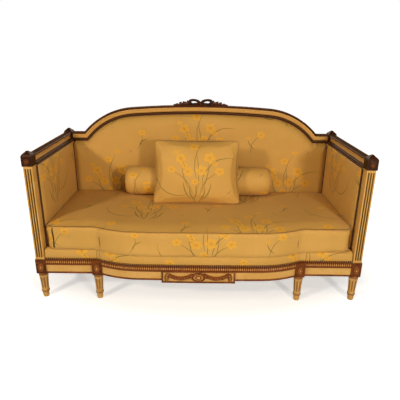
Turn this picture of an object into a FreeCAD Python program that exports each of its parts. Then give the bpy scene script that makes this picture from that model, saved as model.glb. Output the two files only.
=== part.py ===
"""Parametric model of an upholstered bergere sofa in the neoclassical taste.

The sofa is a painted and gilded beech frame on eight legs: fluted corner posts, a bowed and moulded
front rail with a carved tablet, moulded arm rails and an arched crest rail with a carved ribbon
bow. The back, arms and seat deck are upholstered over webbing, and a thick bow-fronted cushion, a
bolster and a pillow lie loose on the seat.

Units are millimetres. +X is the sitter's left to right seen from the front, +Y runs to the back and
+Z is up. The origin is on the floor, at the middle of the whole sofa.
"""
import FreeCAD, Part
import math
import os

import Sketcher
from FreeCAD import Placement, Rotation, Vector

SIZES = {
    # overall frame
    "overall_width": 1850, "frame_depth": 757, "leg_height": 162, "seat_rail_height": 90, "arm_height": 846,
    # corner posts
    "post_width": 56, "shaft_width": 48, "cap_block_height": 54, "cap_height": 25, "cap_bevel": 8,
    "cap_tip_width": 10,
    "flute_width": 8.5, "flute_pitch": 13, "flute_count": 3, "flute_margin": 16,
    # turned front legs
    "collar_diameter": 55, "collar_height": 15, "leg_top_diameter": 53, "leg_ankle_diameter": 41,
    "ring_height": 40, "ring_width": 10, "ring_diameter": 46, "foot_top_diameter": 38, "foot_diameter": 32,
    "leg_flute_width": 13, "leg_flute_depth": 3, "leg_flute_count": 8, "leg_flute_margin": 10,
    "leg_tenon_diameter": 24, "leg_tenon_length": 28,
    # square rear legs
    "rear_foot_width": 34, "rear_middle_leg_width": 48,
    # seat rails and the bow of the front
    "rail_thickness": 32, "rail_recess": 8, "rail_fillet_height": 10, "rail_fillet_proud": 2.5,
    "side_bay": 265, "middle_block_proud": 10, "bow_projection": 66, "bow_crown_angle": 1.2,
    "bow_end_angle": 27,
    "bow_ease_radius": 60, "bow_start_offset": 10, "moulding_height": 36, "moulding_bead": 12,
    "moulding_proud": 4.5,
    "stretcher_thickness": 28, "stretcher_height": 60, "corner_block_leg": 60, "corner_block_height": 36,
    # joints
    "tenon_length": 20, "tenon_thickness": 12, "tenon_margin": 6, "joint_clearance": 0.2,
    # moulded arm and crest rails
    "moulded_width": 56, "moulded_thickness": 44, "moulding_set": 3, "outer_bead": 12, "inner_bead": 12,
    "bead_quirk": 2, "cavetto_depth": 5, "cavetto_sink": 3,
    "shoulder_length": 79, "arch_rise": 186, "arch_crown_angle": 4.8, "arch_end_angle": 46, "arch_spring": 28,
    # carved ornament
    "tablet_half_width": 205, "tablet_drop": 12, "tablet_height": 72, "tablet_thickness": 8,
    "tablet_border": 5,
    "tablet_sink": 4, "carving_relief": 14, "carving_set": 1, "swag_tube": 16, "swag_drop": 25,
    "swag_set": 12,
    "boss_width": 82, "boss_height": 50, "drop_length": 44, "drop_width": 24, "drop_rise": 5,
    "patera_width": 40, "patera_height": 62,
    "patera_relief": 5, "cap_patera": 32, "bow_half_width": 182, "bow_height": 38, "bow_loop_width": 60,
    "bow_loop_height": 34, "bow_ribbon": 9, "bow_thickness": 16, "bow_knot_width": 26, "bow_knot_height": 30,
    "bow_leaf_height": 16, "bow_leaf_count": 4, "bow_leaf_start": 42,
    # hidden frame of the back and arms
    "inner_rail_thickness": 18, "inner_rail_height": 40, "inner_rail_rise": 13, "stile_offset": 300,
    "stile_width": 50, "panel_thickness": 4, "web_width": 50, "web_thickness": 1.5, "web_pitch": 105,
    "cross_web_count": 4, "back_web_count": 4,
    # upholstery
    "deck_height": 61, "deck_set": 2, "deck_edge": 10, "soft_clearance": 0.3, "arm_swell": 15,
    "back_swell": 66,
    "pad_roll": 70, "pad_side_share": 0.3, "pad_bottom_gap": 3, "pad_edge_set": 1,
    # loose cushions
    "cushion_boxing": 135, "cushion_crown": 22, "cushion_crown_reach": 110, "cushion_edge": 9,
    "cushion_draw_in": 4, "cushion_overhang": 6, "cushion_corner": 40, "cushion_side_gap": 2,
    "bolster_length": 950, "bolster_diameter": 194, "bolster_end_dome": 14, "bolster_edge": 10,
    "bolster_waist": 4, "bolster_taper": 60,
    "bolster_shift": -10, "bolster_gap": 33,
    "pillow_width": 540, "pillow_height": 388, "pillow_thickness": 104, "pillow_draw_in": 18,
    "pillow_crown_reach": 136, "pillow_lean": 18, "pillow_shift": -19, "pillow_bolster_gap": 3,
}

doc = FreeCAD.newDocument("bergere_sofa")
sheet = doc.addObject("Spreadsheet::Sheet", "Sizes")
for row, (alias, number) in enumerate(SIZES.items(), start=1):
    sheet.set(f"A{row}", alias)
    sheet.set(f"B{row}", f"{number}")
    sheet.setAlias(f"B{row}", alias)
doc.recompute()


class Size:
    """A number together with the sheet formula that gives it, so that arithmetic keeps both."""

    def __init__(self, number, formula):
        self.number = float(number)
        self.formula = formula

    @staticmethod
    def of(other):
        return other if isinstance(other, Size) else Size(other, f"({float(other):g})")

    def join(self, sign, other, number):
        return Size(number, f"({self.formula} {sign} {Size.of(other).formula})")

    def __add__(self, other):
        return self.join("+", other, self.number + Size.of(other).number)

    def __sub__(self, other):
        return self.join("-", other, self.number - Size.of(other).number)

    def __mul__(self, other):
        return self.join("*", other, self.number * Size.of(other).number)

    def __truediv__(self, other):
        return self.join("/", other, self.number / Size.of(other).number)

    def __neg__(self):
        return self * -1

    def __float__(self):
        return self.number


def size(alias):
    """The sheet's value of one driving dimension."""
    return Size(sheet.get(alias), f"Sizes.{alias}")


def value(alias):
    """The plain number of one driving dimension."""
    return float(sheet.get(alias))


# Main places, worked out from the driving dimensions

post = size("post_width")
half_width = size("overall_width") / 2
post_x = half_width - post / 2
post_inner = half_width - post
front_reach = (size("bow_projection") + size("tablet_thickness") + size("carving_relief")
               - size("tablet_sink") - size("rail_recess"))
front = (front_reach - size("frame_depth")) / 2
back = front + size("frame_depth")
front_post_y = front + post / 2
rear_post_y = back - post / 2
rail_bottom = size("leg_height")
rail_top = rail_bottom + size("seat_rail_height")
rail_face = front + size("rail_recess")
middle_outer = post_inner - size("side_bay")
middle_x = middle_outer - post / 2
middle_inner = middle_outer - post
middle_front = front - size("middle_block_proud")
middle_y = middle_front + post / 2
shaft_half = size("shaft_width") / 2
shaft_inner = post_x - shaft_half
shaft_rear = front_post_y + shaft_half
rear_shaft_front = rear_post_y - shaft_half
moulded_bottom = size("arm_height") - size("moulded_width")
web_top = rail_top + size("web_thickness") * 2
deck_bottom = web_top + size("soft_clearance")
deck_top = rail_top + size("deck_height")
inner_rail_bottom = deck_top + size("inner_rail_rise")
inner_rail_top = inner_rail_bottom + size("inner_rail_height")
inner_half = size("inner_rail_thickness") / 2
crest_front = back - post + size("moulding_set")
stile_front = rear_post_y - inner_half
stile_rear = rear_post_y + inner_half
back_pad_rear = stile_front - size("web_thickness")
back_pad_front = back_pad_rear - size("back_swell")
arm_pad_rear = post_x - inner_half
arm_pad_edge = post_inner - size("pad_edge_set")
arm_pad_face = arm_pad_edge - size("arm_swell")
pad_bottom = deck_top + size("pad_bottom_gap")
cushion_bottom = deck_top + size("soft_clearance")
cushion_seam = cushion_bottom + size("cushion_boxing")
seat_height = cushion_seam + size("cushion_crown")
cushion_half = arm_pad_face - size("cushion_side_gap")
cushion_rear = back_pad_front - size("cushion_side_gap")

# Zones of the tenons: two that meet in one post lie one above the other
tenon_half = size("tenon_thickness") / 2
margin = size("tenon_margin")
rail_tenon = (size("seat_rail_height") - size("leg_tenon_length") - margin * 3) / 2
rail_tenons = {"upper": (rail_top - margin - rail_tenon, rail_top - margin),
               "lower": (rail_top - margin * 2 - rail_tenon * 2, rail_top - margin * 2 - rail_tenon)}
moulded_tenon = (size("moulded_width") - margin * 3) / 2
moulded_tenons = {"upper": (size("arm_height") - margin - moulded_tenon, size("arm_height") - margin),
                  "lower": (moulded_bottom + margin, moulded_bottom + margin + moulded_tenon)}
inner_tenon = (size("inner_rail_height") - margin * 3) / 2
inner_tenons = {"upper": (inner_rail_top - margin - inner_tenon, inner_rail_top - margin),
                "lower": (inner_rail_bottom + margin, inner_rail_bottom + margin + inner_tenon)}
inner_tenon_half = inner_half - margin / 2

SIDES = (("left", -1), ("right", 1))
pieces = []


# Helpers for document objects

def keep(piece, label):
    """Name a finished sub-part and put it on the list of those that are written."""
    piece.Label = label
    pieces.append(piece)
    return piece


def bind(target, **formulas):
    """Bind properties of an object to sheet formulas; an underscore in a name stands for a dot."""
    for name, amount in formulas.items():
        target.setExpression(name.replace("_", "."), Size.of(amount).formula)


def place(target, x, y, z):
    """Bind the three coordinates of an object's place."""
    bind(target, Placement_Base_x=x, Placement_Base_y=y, Placement_Base_z=z)


def new_body(label):
    """An empty body that is kept as a sub-part."""
    return keep(doc.addObject("PartDesign::Body", label), label)


def across(side, near, far):
    """The X limits of something between two distances from the middle, on the left or the right."""
    return (near, far) if side > 0 else (-far, -near)


def block(body, name, x_limits, y_limits, z_limits, cut=False):
    """Add or take away a box between two limits along each axis."""
    box = body.newObject(f"PartDesign::{'Subtractive' if cut else 'Additive'}Box", name)
    bind(box, Length=x_limits[1] - x_limits[0], Width=y_limits[1] - y_limits[0],
         Height=z_limits[1] - z_limits[0])
    place(box, x_limits[0], y_limits[0], z_limits[0])
    return box


def mortise(body, name, x_limits, y_limits, z_limits):
    """Take away the room of a tenon, with the joint's clearance all round."""
    slack = size("joint_clearance")
    limits = [(low - slack, high + slack) for low, high in (x_limits, y_limits, z_limits)]
    return block(body, name, *limits, cut=True)


def origin_feature(body, role):
    """One of the body's own origin planes or axes."""
    return next(item for item in body.Origin.OriginFeatures if item.Role == role)


def outline_sketch(body, name, plane, corners, offset=0):
    """A closed outline of straight lines, each corner held by its two coordinates."""
    sketch = body.newObject("Sketcher::SketchObject", name)
    sketch.AttachmentSupport = [(origin_feature(body, plane), "")]
    sketch.MapMode = "FlatFace"
    bind(sketch, AttachmentOffset_Base_z=offset)
    points = [Vector(float(Size.of(x)), float(Size.of(y)), 0) for x, y in corners]
    count = len(points)
    for index in range(count):
        sketch.addGeometry(Part.LineSegment(points[index], points[(index + 1) % count]))
    for index in range(count):
        sketch.addConstraint(Sketcher.Constraint("Coincident", index, 2, (index + 1) % count, 1))
    for index, (x, y) in enumerate(corners):
        for kind, amount in (("DistanceX", Size.of(x)), ("DistanceY", Size.of(y))):
            number = sketch.addConstraint(Sketcher.Constraint(kind, -1, 1, index, 1, amount.number))
            sketch.setExpression(f"Constraints[{number}]", amount.formula)
    return sketch


def pad(body, name, sketch, length):
    """Carry an outline straight along the normal of its plane."""
    feature = body.newObject("PartDesign::Pad", name)
    feature.Profile = sketch
    bind(feature, Length=length)
    return feature


def taper(body, name, low_side, high_side, z_limits, low_y=0, high_y=0):
    """Add a block that tapers from a square below to a square above, each about its own Y."""
    wedge = body.newObject("PartDesign::AdditiveWedge", name)
    wedge.Placement = Placement(Vector(), Rotation(Vector(1, 0, 0), 90))
    low_half, high_half = low_side / 2, high_side / 2
    bind(wedge, Ymin=z_limits[0], Ymax=z_limits[1], Xmin=-low_half, Xmax=low_half, X2min=-high_half,
         X2max=high_half,
         Zmin=-low_half - low_y, Zmax=low_half - low_y, Z2min=-high_half - high_y, Z2max=high_half - high_y)
    return wedge


def revolve(body, name, sketch, axis):
    """Turn a half outline once round one of the body's axes."""
    feature = body.newObject("PartDesign::Revolution", name)
    feature.Profile = sketch
    feature.ReferenceAxis = (origin_feature(body, axis), [""])
    feature.Angle = 360
    return feature


def keep_shape(label, shape):
    """A sub-part whose form is worked out as a shape, placed at the sofa's origin."""
    piece = doc.addObject("Part::Feature", label)
    piece.Shape = shape
    piece.Placement = Placement()
    return keep(piece, label)


def box_between(x_limits, y_limits, z_limits):
    """A box shape between two limits along each axis."""
    low, high = ([float(Size.of(pair[end])) for pair in (x_limits, y_limits, z_limits)] for end in (0, 1))
    return Part.makeBox(*(top - bottom for bottom, top in zip(low, high)), Vector(*low))


def ruled(wires):
    """A closed solid with straight faces through outlines of like edges."""
    return Part.makeLoft(wires, True, True)


def flat_faced(rings):
    """A closed solid of flat faces through rings of as many points each, with flat ends."""
    corners = []
    for low, high in zip(rings, rings[1:]):
        for index in range(len(low)):
            after = (index + 1) % len(low)
            corners += [(low[index], low[after], high[after]), (low[index], high[after], high[index])]
    outlines = [list(triangle) for triangle in corners] + [rings[0], rings[-1]]
    faces = [Part.Face(Part.makePolygon(outline + outline[:1])) for outline in outlines]
    solid = Part.Solid(Part.Shell(faces))
    if solid.Volume < 0:
        solid.reverse()
    return solid


def fuse(shapes):
    """One solid from shapes that meet, without the seams between flush faces."""
    return shapes[0].multiFuse(shapes[1:]).removeSplitter()


# Turned front legs

def fluted_ring(radius, sink, z):
    """The corners of a leg's section: a round with the leg's flutes, sunk by the amount given."""
    pitch = 2 * math.pi / value("leg_flute_count")
    turn = value("leg_flute_width") / value("leg_top_diameter")
    ring = []
    for index in range(int(value("leg_flute_count"))):
        for place_in_flute, depth in ((-1, 0), (-0.5, sink), (0.5, sink), (1, 0)):
            angle = pitch * index + turn * place_in_flute
            ring.append(Vector((radius - depth) * math.cos(angle), (radius - depth) * math.sin(angle), z))
    return ring


def turned_leg(label, x, y):
    """A round tapered leg with a collar, flutes, an ankle ring and a peg foot, and a round tenon on top."""
    ring_z, ring_half = value("ring_height"), value("ring_width") / 2
    neck_z = float(rail_bottom) - value("collar_height")
    half = [value(f"{name}_diameter") / 2
            for name in ("foot", "foot_top", "ring", "leg_ankle", "leg_top", "collar", "leg_tenon")]
    foot, foot_top, ring, ankle, top, collar, tenon = half
    shaft = neck_z - ring_z - ring_half
    margin_share, end_share = value("leg_flute_margin") / shaft, value("leg_flute_width") / 2 / shaft
    levels = [(foot, 0, 0), (foot_top, 0, ring_z - ring_half), (ring, 0, ring_z),
              (ankle, 0, ring_z + ring_half)]
    for share, sink in ((margin_share, 0), (margin_share + end_share, 1), (1 - margin_share - end_share, 1),
                        (1 - margin_share, 0)):
        radius = ankle + (top - ankle) * share
        levels.append((radius, value("leg_flute_depth") * sink, neck_z - shaft * (1 - share)))
    levels += [(top, 0, neck_z), (collar, 0, neck_z + value("collar_height") / 2),
               (collar, 0, float(rail_bottom)),
               (tenon, 0, float(rail_bottom)), (tenon, 0, float(rail_bottom) + value("leg_tenon_length"))]
    leg = keep_shape(label, flat_faced([fluted_ring(*level) for level in levels]))
    place(leg, x, y, 0)


# Corner posts

def post_stack(body, label):
    """The square blocks, the shaft and the pointed cap of a corner post about its own axis."""
    half = post / 2
    height = size("arm_height")
    block(body, f"{label}_rail_block", (-half, half), (-half, half), (rail_bottom, rail_top))
    block(body, f"{label}_shaft", (-shaft_half, shaft_half), (-shaft_half, shaft_half),
          (rail_top, height - size("cap_block_height")))
    block(body, f"{label}_cap_block", (-half, half), (-half, half),
          (height - size("cap_block_height"), height))
    bevel = height + size("cap_bevel")
    taper(body, f"{label}_cap_bevel", post, size("shaft_width"), (height, bevel))
    taper(body, f"{label}_cap_point", size("shaft_width"), size("cap_tip_width"),
          (bevel, height + size("cap_height")))


def post_flutes(body, label, side):
    """Flutes with pointed ends down the front and the outer side of a shaft."""
    radius = size("flute_width") / 2
    low = rail_top + size("flute_margin")
    high = size("arm_height") - size("cap_block_height") - size("flute_margin")
    count = int(value("flute_count"))
    for face in ("front", "side"):
        for index in range(count):
            along = size("flute_pitch") * (index - (count - 1) / 2)
            x, y = (along, -shaft_half) if face == "front" else (shaft_half * side, along)
            flute = body.newObject("PartDesign::SubtractiveCylinder", f"{label}_{face}_flute_{index}")
            bind(flute, Radius=radius, Height=high - low)
            place(flute, x, y, low)
            for end, z, radii in (("foot", low - radius, (0, radius)), ("head", high, (radius, 0))):
                point = body.newObject("PartDesign::SubtractiveCone", f"{label}_{face}_flute_{end}_{index}")
                bind(point, Radius1=radii[0], Radius2=radii[1], Height=radius)
                place(point, x, y, z)


def post_mortises(body, label, side, way):
    """The rooms of the two seat rails that meet in a post; the side rail leaves it along Y."""
    inset = post / 2 - size("rail_recess") - size("rail_thickness") / 2
    cross_y, side_x = inset * -way, inset * side
    half, reach = post / 2, post / 2 - size("tenon_length")
    mortise(body, f"{label}_cross_room", across(side, -half, -reach),
            (cross_y - tenon_half, cross_y + tenon_half),
            rail_tenons["lower"])
    mortise(body, f"{label}_side_room", (side_x - tenon_half, side_x + tenon_half), across(way, reach, half),
            rail_tenons["upper"])


def front_post(name, side):
    """A front corner post: rail block, fluted shaft, cap block and pointed cap, bored for its leg."""
    label = f"front_post_{name}"
    body = new_body(label)
    post_stack(body, label)
    post_flutes(body, label, side)
    post_mortises(body, label, side, 1)
    arm_centre = arm_rail_centre() * side
    face = (post / 2 - size("tenon_length"), post / 2)
    mortise(body, f"{label}_arm_room", (arm_centre - tenon_half, arm_centre + tenon_half), face,
            moulded_tenons["upper"])
    face = (shaft_half - size("tenon_length"), shaft_half)
    mortise(body, f"{label}_inner_room", (-inner_tenon_half, inner_tenon_half), face, inner_tenons["upper"])
    bore = body.newObject("PartDesign::SubtractiveCylinder", f"{label}_leg_bore")
    bind(bore, Radius=size("leg_tenon_diameter") / 2 + size("joint_clearance"),
         Height=size("leg_tenon_length") + size("joint_clearance"))
    place(bore, 0, 0, rail_bottom)
    place(body, post_x * side, front_post_y, 0)


def arm_rail_centre():
    """The X of an arm rail's middle, measured from the axis of the right-hand posts."""
    return size("moulding_set") - post / 2 + size("moulded_thickness") / 2


def rear_post(name, side):
    """A rear corner post in one piece with its square tapered leg, upright at the back."""
    label = f"rear_post_{name}"
    body = new_body(label)
    post_stack(body, label)
    foot = size("rear_foot_width")
    taper(body, f"{label}_leg", foot, post, (Size.of(0), rail_bottom), low_y=(post - foot) / 2)
    post_mortises(body, label, side, -1)
    arm_centre = arm_rail_centre() * side
    face = (-(post / 2), size("tenon_length") - post / 2)
    mortise(body, f"{label}_arm_room", (arm_centre - tenon_half, arm_centre + tenon_half), face,
            moulded_tenons["upper"])
    face = (-shaft_half, size("tenon_length") - shaft_half)
    mortise(body, f"{label}_arm_inner_room", (-inner_tenon_half, inner_tenon_half), face,
            inner_tenons["upper"])
    crest_centre = arm_rail_centre()
    inner = across(side, -(post / 2), size("tenon_length") - post / 2)
    mortise(body, f"{label}_crest_room", inner, (crest_centre - tenon_half, crest_centre + tenon_half),
            moulded_tenons["lower"])
    inner = across(side, -shaft_half, size("tenon_length") - shaft_half)
    mortise(body, f"{label}_back_inner_room", inner, (-inner_tenon_half, inner_tenon_half),
            inner_tenons["lower"])
    place(body, post_x * side, rear_post_y, 0)


def middle_block(name, side):
    """The square block that joins a straight front rail to the bowed one, over a middle leg."""
    label = f"middle_block_{name}"
    body = new_body(label)
    half = post / 2
    block(body, f"{label}_stock", (-half, half), (-half, half), (rail_bottom, rail_top))
    straight_y = rail_face + size("rail_thickness") / 2 - middle_y
    outer = across(side, half - size("tenon_length"), half)
    mortise(body, f"{label}_straight_room", outer, (straight_y - tenon_half, straight_y + tenon_half),
            rail_tenons["lower"])
    inner = across(side, -half, size("tenon_length") - half)
    mortise(body, f"{label}_bow_room", inner, (-tenon_half, tenon_half), rail_tenons["upper"])
    bore = body.newObject("PartDesign::SubtractiveCylinder", f"{label}_leg_bore")
    bind(bore, Radius=size("leg_tenon_diameter") / 2 + size("joint_clearance"),
         Height=size("leg_tenon_length") + size("joint_clearance"))
    place(bore, 0, 0, rail_bottom)
    place(body, middle_x * side, middle_y, 0)


def rear_middle_leg(name, side):
    """A square tapered leg under the rear rail, with a round tenon."""
    label = f"rear_middle_leg_{name}"
    body = new_body(label)
    foot, top = size("rear_foot_width"), size("rear_middle_leg_width")
    flush = size("rail_thickness") / 2
    taper(body, f"{label}_taper", foot, top, (Size.of(0), rail_bottom), low_y=flush - foot / 2,
          high_y=flush - top / 2)
    tenon = body.newObject("PartDesign::AdditiveCylinder", f"{label}_tenon")
    bind(tenon, Radius=size("leg_tenon_diameter") / 2, Height=size("leg_tenon_length"))
    place(tenon, 0, 0, rail_bottom)
    place(body, middle_x * side, rear_rail_y(), 0)


# Straight seat rails

def rear_rail_y():
    """The Y of the rear rail's middle."""
    return back - size("rail_recess") - size("rail_thickness") / 2


def rail_along_x(label, x_limits, y_centre, thickness, z_limits, half, zone):
    """A straight rail along X with a tenon at each end."""
    body = new_body(label)
    block(body, f"{label}_bar", x_limits, (y_centre - thickness / 2, y_centre + thickness / 2), z_limits)
    reach = size("tenon_length")
    block(body, f"{label}_tenons", (x_limits[0] - reach, x_limits[1] + reach),
          (y_centre - half, y_centre + half), zone)
    return body


def rail_along_y(label, x_centre, y_limits, thickness, z_limits, half, zone):
    """A straight rail along Y with a tenon at each end."""
    body = new_body(label)
    block(body, f"{label}_bar", (x_centre - thickness / 2, x_centre + thickness / 2), y_limits, z_limits)
    reach = size("tenon_length")
    block(body, f"{label}_tenons", (x_centre - half, x_centre + half),
          (y_limits[0] - reach, y_limits[1] + reach), zone)
    return body


def seat_rails():
    """The straight rails of the front bays, the sides and the back, with a fillet along each lower edge."""
    thickness = size("rail_thickness")
    span = (rail_bottom, rail_top)
    fillet = (rail_bottom, rail_bottom + size("rail_fillet_height"))
    proud = size("rail_fillet_proud")
    for name, side in SIDES:
        x_limits = across(side, middle_outer, post_inner)
        rail = rail_along_x(f"front_rail_{name}", x_limits, rail_face + thickness / 2, thickness, span,
                            tenon_half, rail_tenons["lower"])
        block(rail, f"front_rail_{name}_fillet", x_limits, (rail_face - proud, rail_face), fillet)
        outer = half_width - size("rail_recess")
        y_limits = (front + post, back - post)
        rail = rail_along_y(f"side_rail_{name}", (outer - thickness / 2) * side, y_limits, thickness, span,
                            tenon_half, rail_tenons["upper"])
        block(rail, f"side_rail_{name}_fillet", across(side, outer, outer + proud), y_limits, fillet)
    rail = rail_along_x("rear_rail", (-post_inner, post_inner), rear_rail_y(), thickness, span,
                        tenon_half, rail_tenons["lower"])
    for name, side in SIDES:
        bore = rail.newObject("PartDesign::SubtractiveCylinder", f"rear_rail_{name}_bore")
        bind(bore, Radius=size("leg_tenon_diameter") / 2 + size("joint_clearance"),
             Height=size("leg_tenon_length") + size("joint_clearance"))
        place(bore, middle_x * side, rear_rail_y(), rail_bottom)


def seat_stretchers():
    """Braces from the middle blocks back to the rear rail."""
    half = size("stretcher_thickness") / 2
    y_limits = (middle_front + post, rear_rail_y() - size("rail_thickness") / 2)
    for name, side in SIDES:
        body = new_body(f"seat_stretcher_{name}")
        x = middle_x * side
        z_limits = (rail_top - margin - size("stretcher_height"), rail_top - margin)
        block(body, f"seat_stretcher_{name}_bar", (x - half, x + half), y_limits, z_limits)


def corner_blocks():
    """Glue blocks in the four inner corners of the seat frame, notched round the posts."""
    side_inner = half_width - size("rail_recess") - size("rail_thickness")
    leg = size("corner_block_leg")
    for end, face, post_face, way in (("front", rail_face + size("rail_thickness"), front + post, 1),
                                      ("rear", rear_rail_y() - size("rail_thickness") / 2, back - post, -1)):
        for name, side in SIDES:
            label = f"corner_block_{end}_{name}"
            body = new_body(label)
            corners = [((post_inner - leg) * side, face), (post_inner * side, face),
                       (post_inner * side, post_face),
                       (side_inner * side, post_face), (side_inner * side, post_face + leg * way)]
            sketch = outline_sketch(body, f"{label}_outline", "XY_Plane", corners, rail_bottom + margin)
            pad(body, f"{label}_block", sketch, size("corner_block_height"))


def inner_rails():
    """The hidden lower rails of the arms and the back, to which the stuffing is tacked."""
    thickness = size("inner_rail_thickness")
    span = (inner_rail_bottom, inner_rail_top)
    for name, side in SIDES:
        rail_along_y(f"arm_lower_rail_{name}", post_x * side, (shaft_rear, rear_shaft_front), thickness, span,
                     inner_tenon_half, inner_tenons["upper"])
    rail_along_x("back_lower_rail", (-shaft_inner, shaft_inner), rear_post_y, thickness, span,
                 inner_tenon_half, inner_tenons["lower"])


# The bowed front

def two_arc_radii(run, rise, first_angle, last_angle):
    """Radii of two arcs in one smooth line of a run and a fall between their end slopes."""
    first, last = math.radians(first_angle), math.radians(last_angle)
    run_parts = (math.sin(first), math.sin(last) - math.sin(first))
    rise_parts = (1 - math.cos(first), math.cos(first) - math.cos(last))
    whole = run_parts[0] * rise_parts[1] - run_parts[1] * rise_parts[0]
    return ((run * rise_parts[1] - rise * run_parts[1]) / whole,
            (rise * run_parts[0] - run * rise_parts[0]) / whole)


def arc_edge(centre, radius, start, end):
    """An arc in the XY plane between two angles in degrees."""
    points = [centre + Vector(math.cos(math.radians(angle)), math.sin(math.radians(angle)), 0) * radius
              for angle in (start, (start + end) / 2, end)]
    return Part.Arc(*points).toShape()


class Bow:
    """The plan of the sofa's front: straight at the sides, eased forward and bowed across the middle."""

    def __init__(self):
        crown, end = value("bow_crown_angle"), value("bow_end_angle")
        ease = value("bow_ease_radius")
        self.start_x = float(middle_x + size("bow_start_offset"))
        turn = math.radians(end)
        run = self.start_x - ease * math.sin(turn)
        rise = value("bow_projection") - ease * (1 - math.cos(turn))
        self.crown_radius, self.end_radius = two_arc_radii(run, rise, crown, end)
        self.ease_radius = ease
        self.crown_angle, self.end_angle = crown, end
        self.face = float(rail_face)
        self.front = self.face - value("bow_projection")

    def centres(self):
        """The centres of the crown arc, of the right-hand end arc and of the right-hand ease arc."""
        crown = Vector(0, self.front + self.crown_radius, 0)
        step = self.crown_radius - self.end_radius
        angle = math.radians(self.crown_angle)
        end = crown + Vector(math.sin(angle), -math.cos(angle), 0) * step
        ease = Vector(self.start_x, self.face - self.ease_radius, 0)
        return crown, end, ease

    def arcs(self, offset):
        """Centre, radius and end angles of each arc from left to right, moved forward by the offset."""
        crown, end, ease = self.centres()
        low, high = self.crown_angle, self.end_angle
        right = [(end, self.end_radius + offset, -90 + low, -90 + high),
                 (ease, self.ease_radius - offset, 90 + high, 90)]
        left = [(Vector(-centre.x, centre.y, 0), radius, 180 - last, 180 - first)
                for centre, radius, first, last in reversed(right)]
        return left + [(crown, self.crown_radius + offset, -90 - low, -90 + low)] + right

    def edges(self, offset):
        """The bowed stretch of the front from left to right as arcs."""
        return [arc_edge(*arc) for arc in self.arcs(offset)]

    def front_y(self, x, offset):
        """The Y of the bowed front at a distance from the middle, short of the ease arcs."""
        crown, end, ease = self.centres()
        near = abs(x) < self.crown_radius * math.sin(math.radians(self.crown_angle))
        centre, radius = (crown, self.crown_radius) if near else (end, self.end_radius)
        return centre.y - math.sqrt((radius + offset) ** 2 - (abs(x) - centre.x) ** 2)

    def plan(self, offset, half, rear, corner=0):
        """A closed seat plan: the bowed front, straight sides at the half width given and a straight rear."""
        edges = self.edges(offset)
        y = self.face - offset
        path = [Vector(self.start_x, y, 0), Vector(half, y, 0), Vector(half, rear, 0), Vector(-half, rear, 0),
                Vector(-half, y, 0), Vector(-self.start_x, y, 0)]
        if not corner:
            lines = [Part.LineSegment(a, b).toShape() for a, b in zip(path, path[1:])]
            return Part.Wire(edges + lines)
        ways = [(path[index + 1] - path[index]).normalize() for index in range(5)]
        sides = []
        here = path[0]
        for index in range(1, 5):
            before, after = path[index] - ways[index - 1] * corner, path[index] + ways[index] * corner
            middle = path[index] + (ways[index] - ways[index - 1]) * (corner * (1 - math.sqrt(0.5)))
            sides.append(Part.LineSegment(here, before).toShape())
            sides.append(Part.Arc(before, middle, after).toShape())
            here = after
        sides.append(Part.LineSegment(here, path[5]).toShape())
        return Part.Wire(edges + sides)

    def strip(self, outer, inner, x_limits, z_limits):
        """A bar of even thickness along the bow, between two offsets of its plan and two upright cuts."""
        low, high = (float(Size.of(limit)) for limit in z_limits)
        far = self.face + value("frame_depth") / 2
        wide = self.start_x + value("post_width")
        plans = [Part.Face(self.plan(offset, wide, far)) for offset in (outer, inner)]
        bars = [plan.extrude(Vector(0, 0, high - low)) for plan in plans]
        bar = bars[0].cut(bars[1])
        bar.translate(Vector(0, 0, low))
        window = box_between(x_limits, (Size.of(self.front - value("frame_depth")), Size.of(far)), z_limits)
        return bar.common(window)


bow = Bow()


def front_rail_centre():
    """The bowed rail between the middle blocks, with tenons and a fillet along its lower edge."""
    x_limits = (-middle_inner, middle_inner)
    bar = bow.strip(0, -value("rail_thickness"), x_limits, (rail_bottom, rail_top))
    fillet = bow.strip(value("rail_fillet_proud"), 0, x_limits,
                       (rail_bottom, rail_bottom + size("rail_fillet_height")))
    tenons = [box_between(across(side, middle_inner - margin, middle_inner + size("tenon_length")),
                          (middle_y - tenon_half, middle_y + tenon_half), rail_tenons["upper"])
              for name, side in SIDES]
    keep_shape("front_rail_centre", fuse([bar, fillet] + tenons))


def rail_moulding_section():
    """The applied moulding's section as (forward, up) points: a leaf ovolo below a bead."""
    top, height, proud = float(rail_top), value("moulding_height"), value("moulding_proud")
    low = top - height
    bead = value("moulding_bead")
    split = top - bead
    step = proud / 3
    lower = [(0, low), (step, low), (proud, (low + split) / 2), (proud, split)]
    upper = [(step, split), (proud, split + bead / 4), (proud, top - bead / 4), (step, top), (0, top)]
    return lower + upper


def section_face(points, to_space):
    """A closed face from the (a, b) points of a section, placed by a function."""
    corners = [to_space(*point) for point in points]
    return Part.Face(Part.makePolygon(corners + corners[:1]))


def rail_mouldings():
    """The carved moulding applied along the top of the front rails, in a straight and a bowed run."""
    points = rail_moulding_section()
    for name, side in SIDES:
        low, high = (float(limit) for limit in across(side, middle_outer, post_inner))
        face = section_face(points, lambda forward, up: Vector(low, bow.face - forward, up))
        keep_shape(f"rail_moulding_{name}", face.extrude(Vector(high - low, 0, 0)))
    runs = []
    for centre, radius, first, last in bow.arcs(0):
        inward = -1 if radius == bow.ease_radius else 1
        ray = Vector(math.cos(math.radians(first)), math.sin(math.radians(first)), 0)
        def to_space(forward, up):
            return centre + ray * (radius + forward * inward) + Vector(0, 0, up)

        face = section_face(points, to_space)
        runs.append(face.revolve(centre, Vector(0, 0, 1), last - first))
    inner = float(middle_inner)
    window = box_between((-inner, inner), (bow.front - value("frame_depth"), bow.face),
                         (rail_bottom, rail_top + post))
    keep_shape("rail_moulding_centre", fuse([run.common(window) for run in runs[1:-1]]))


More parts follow.
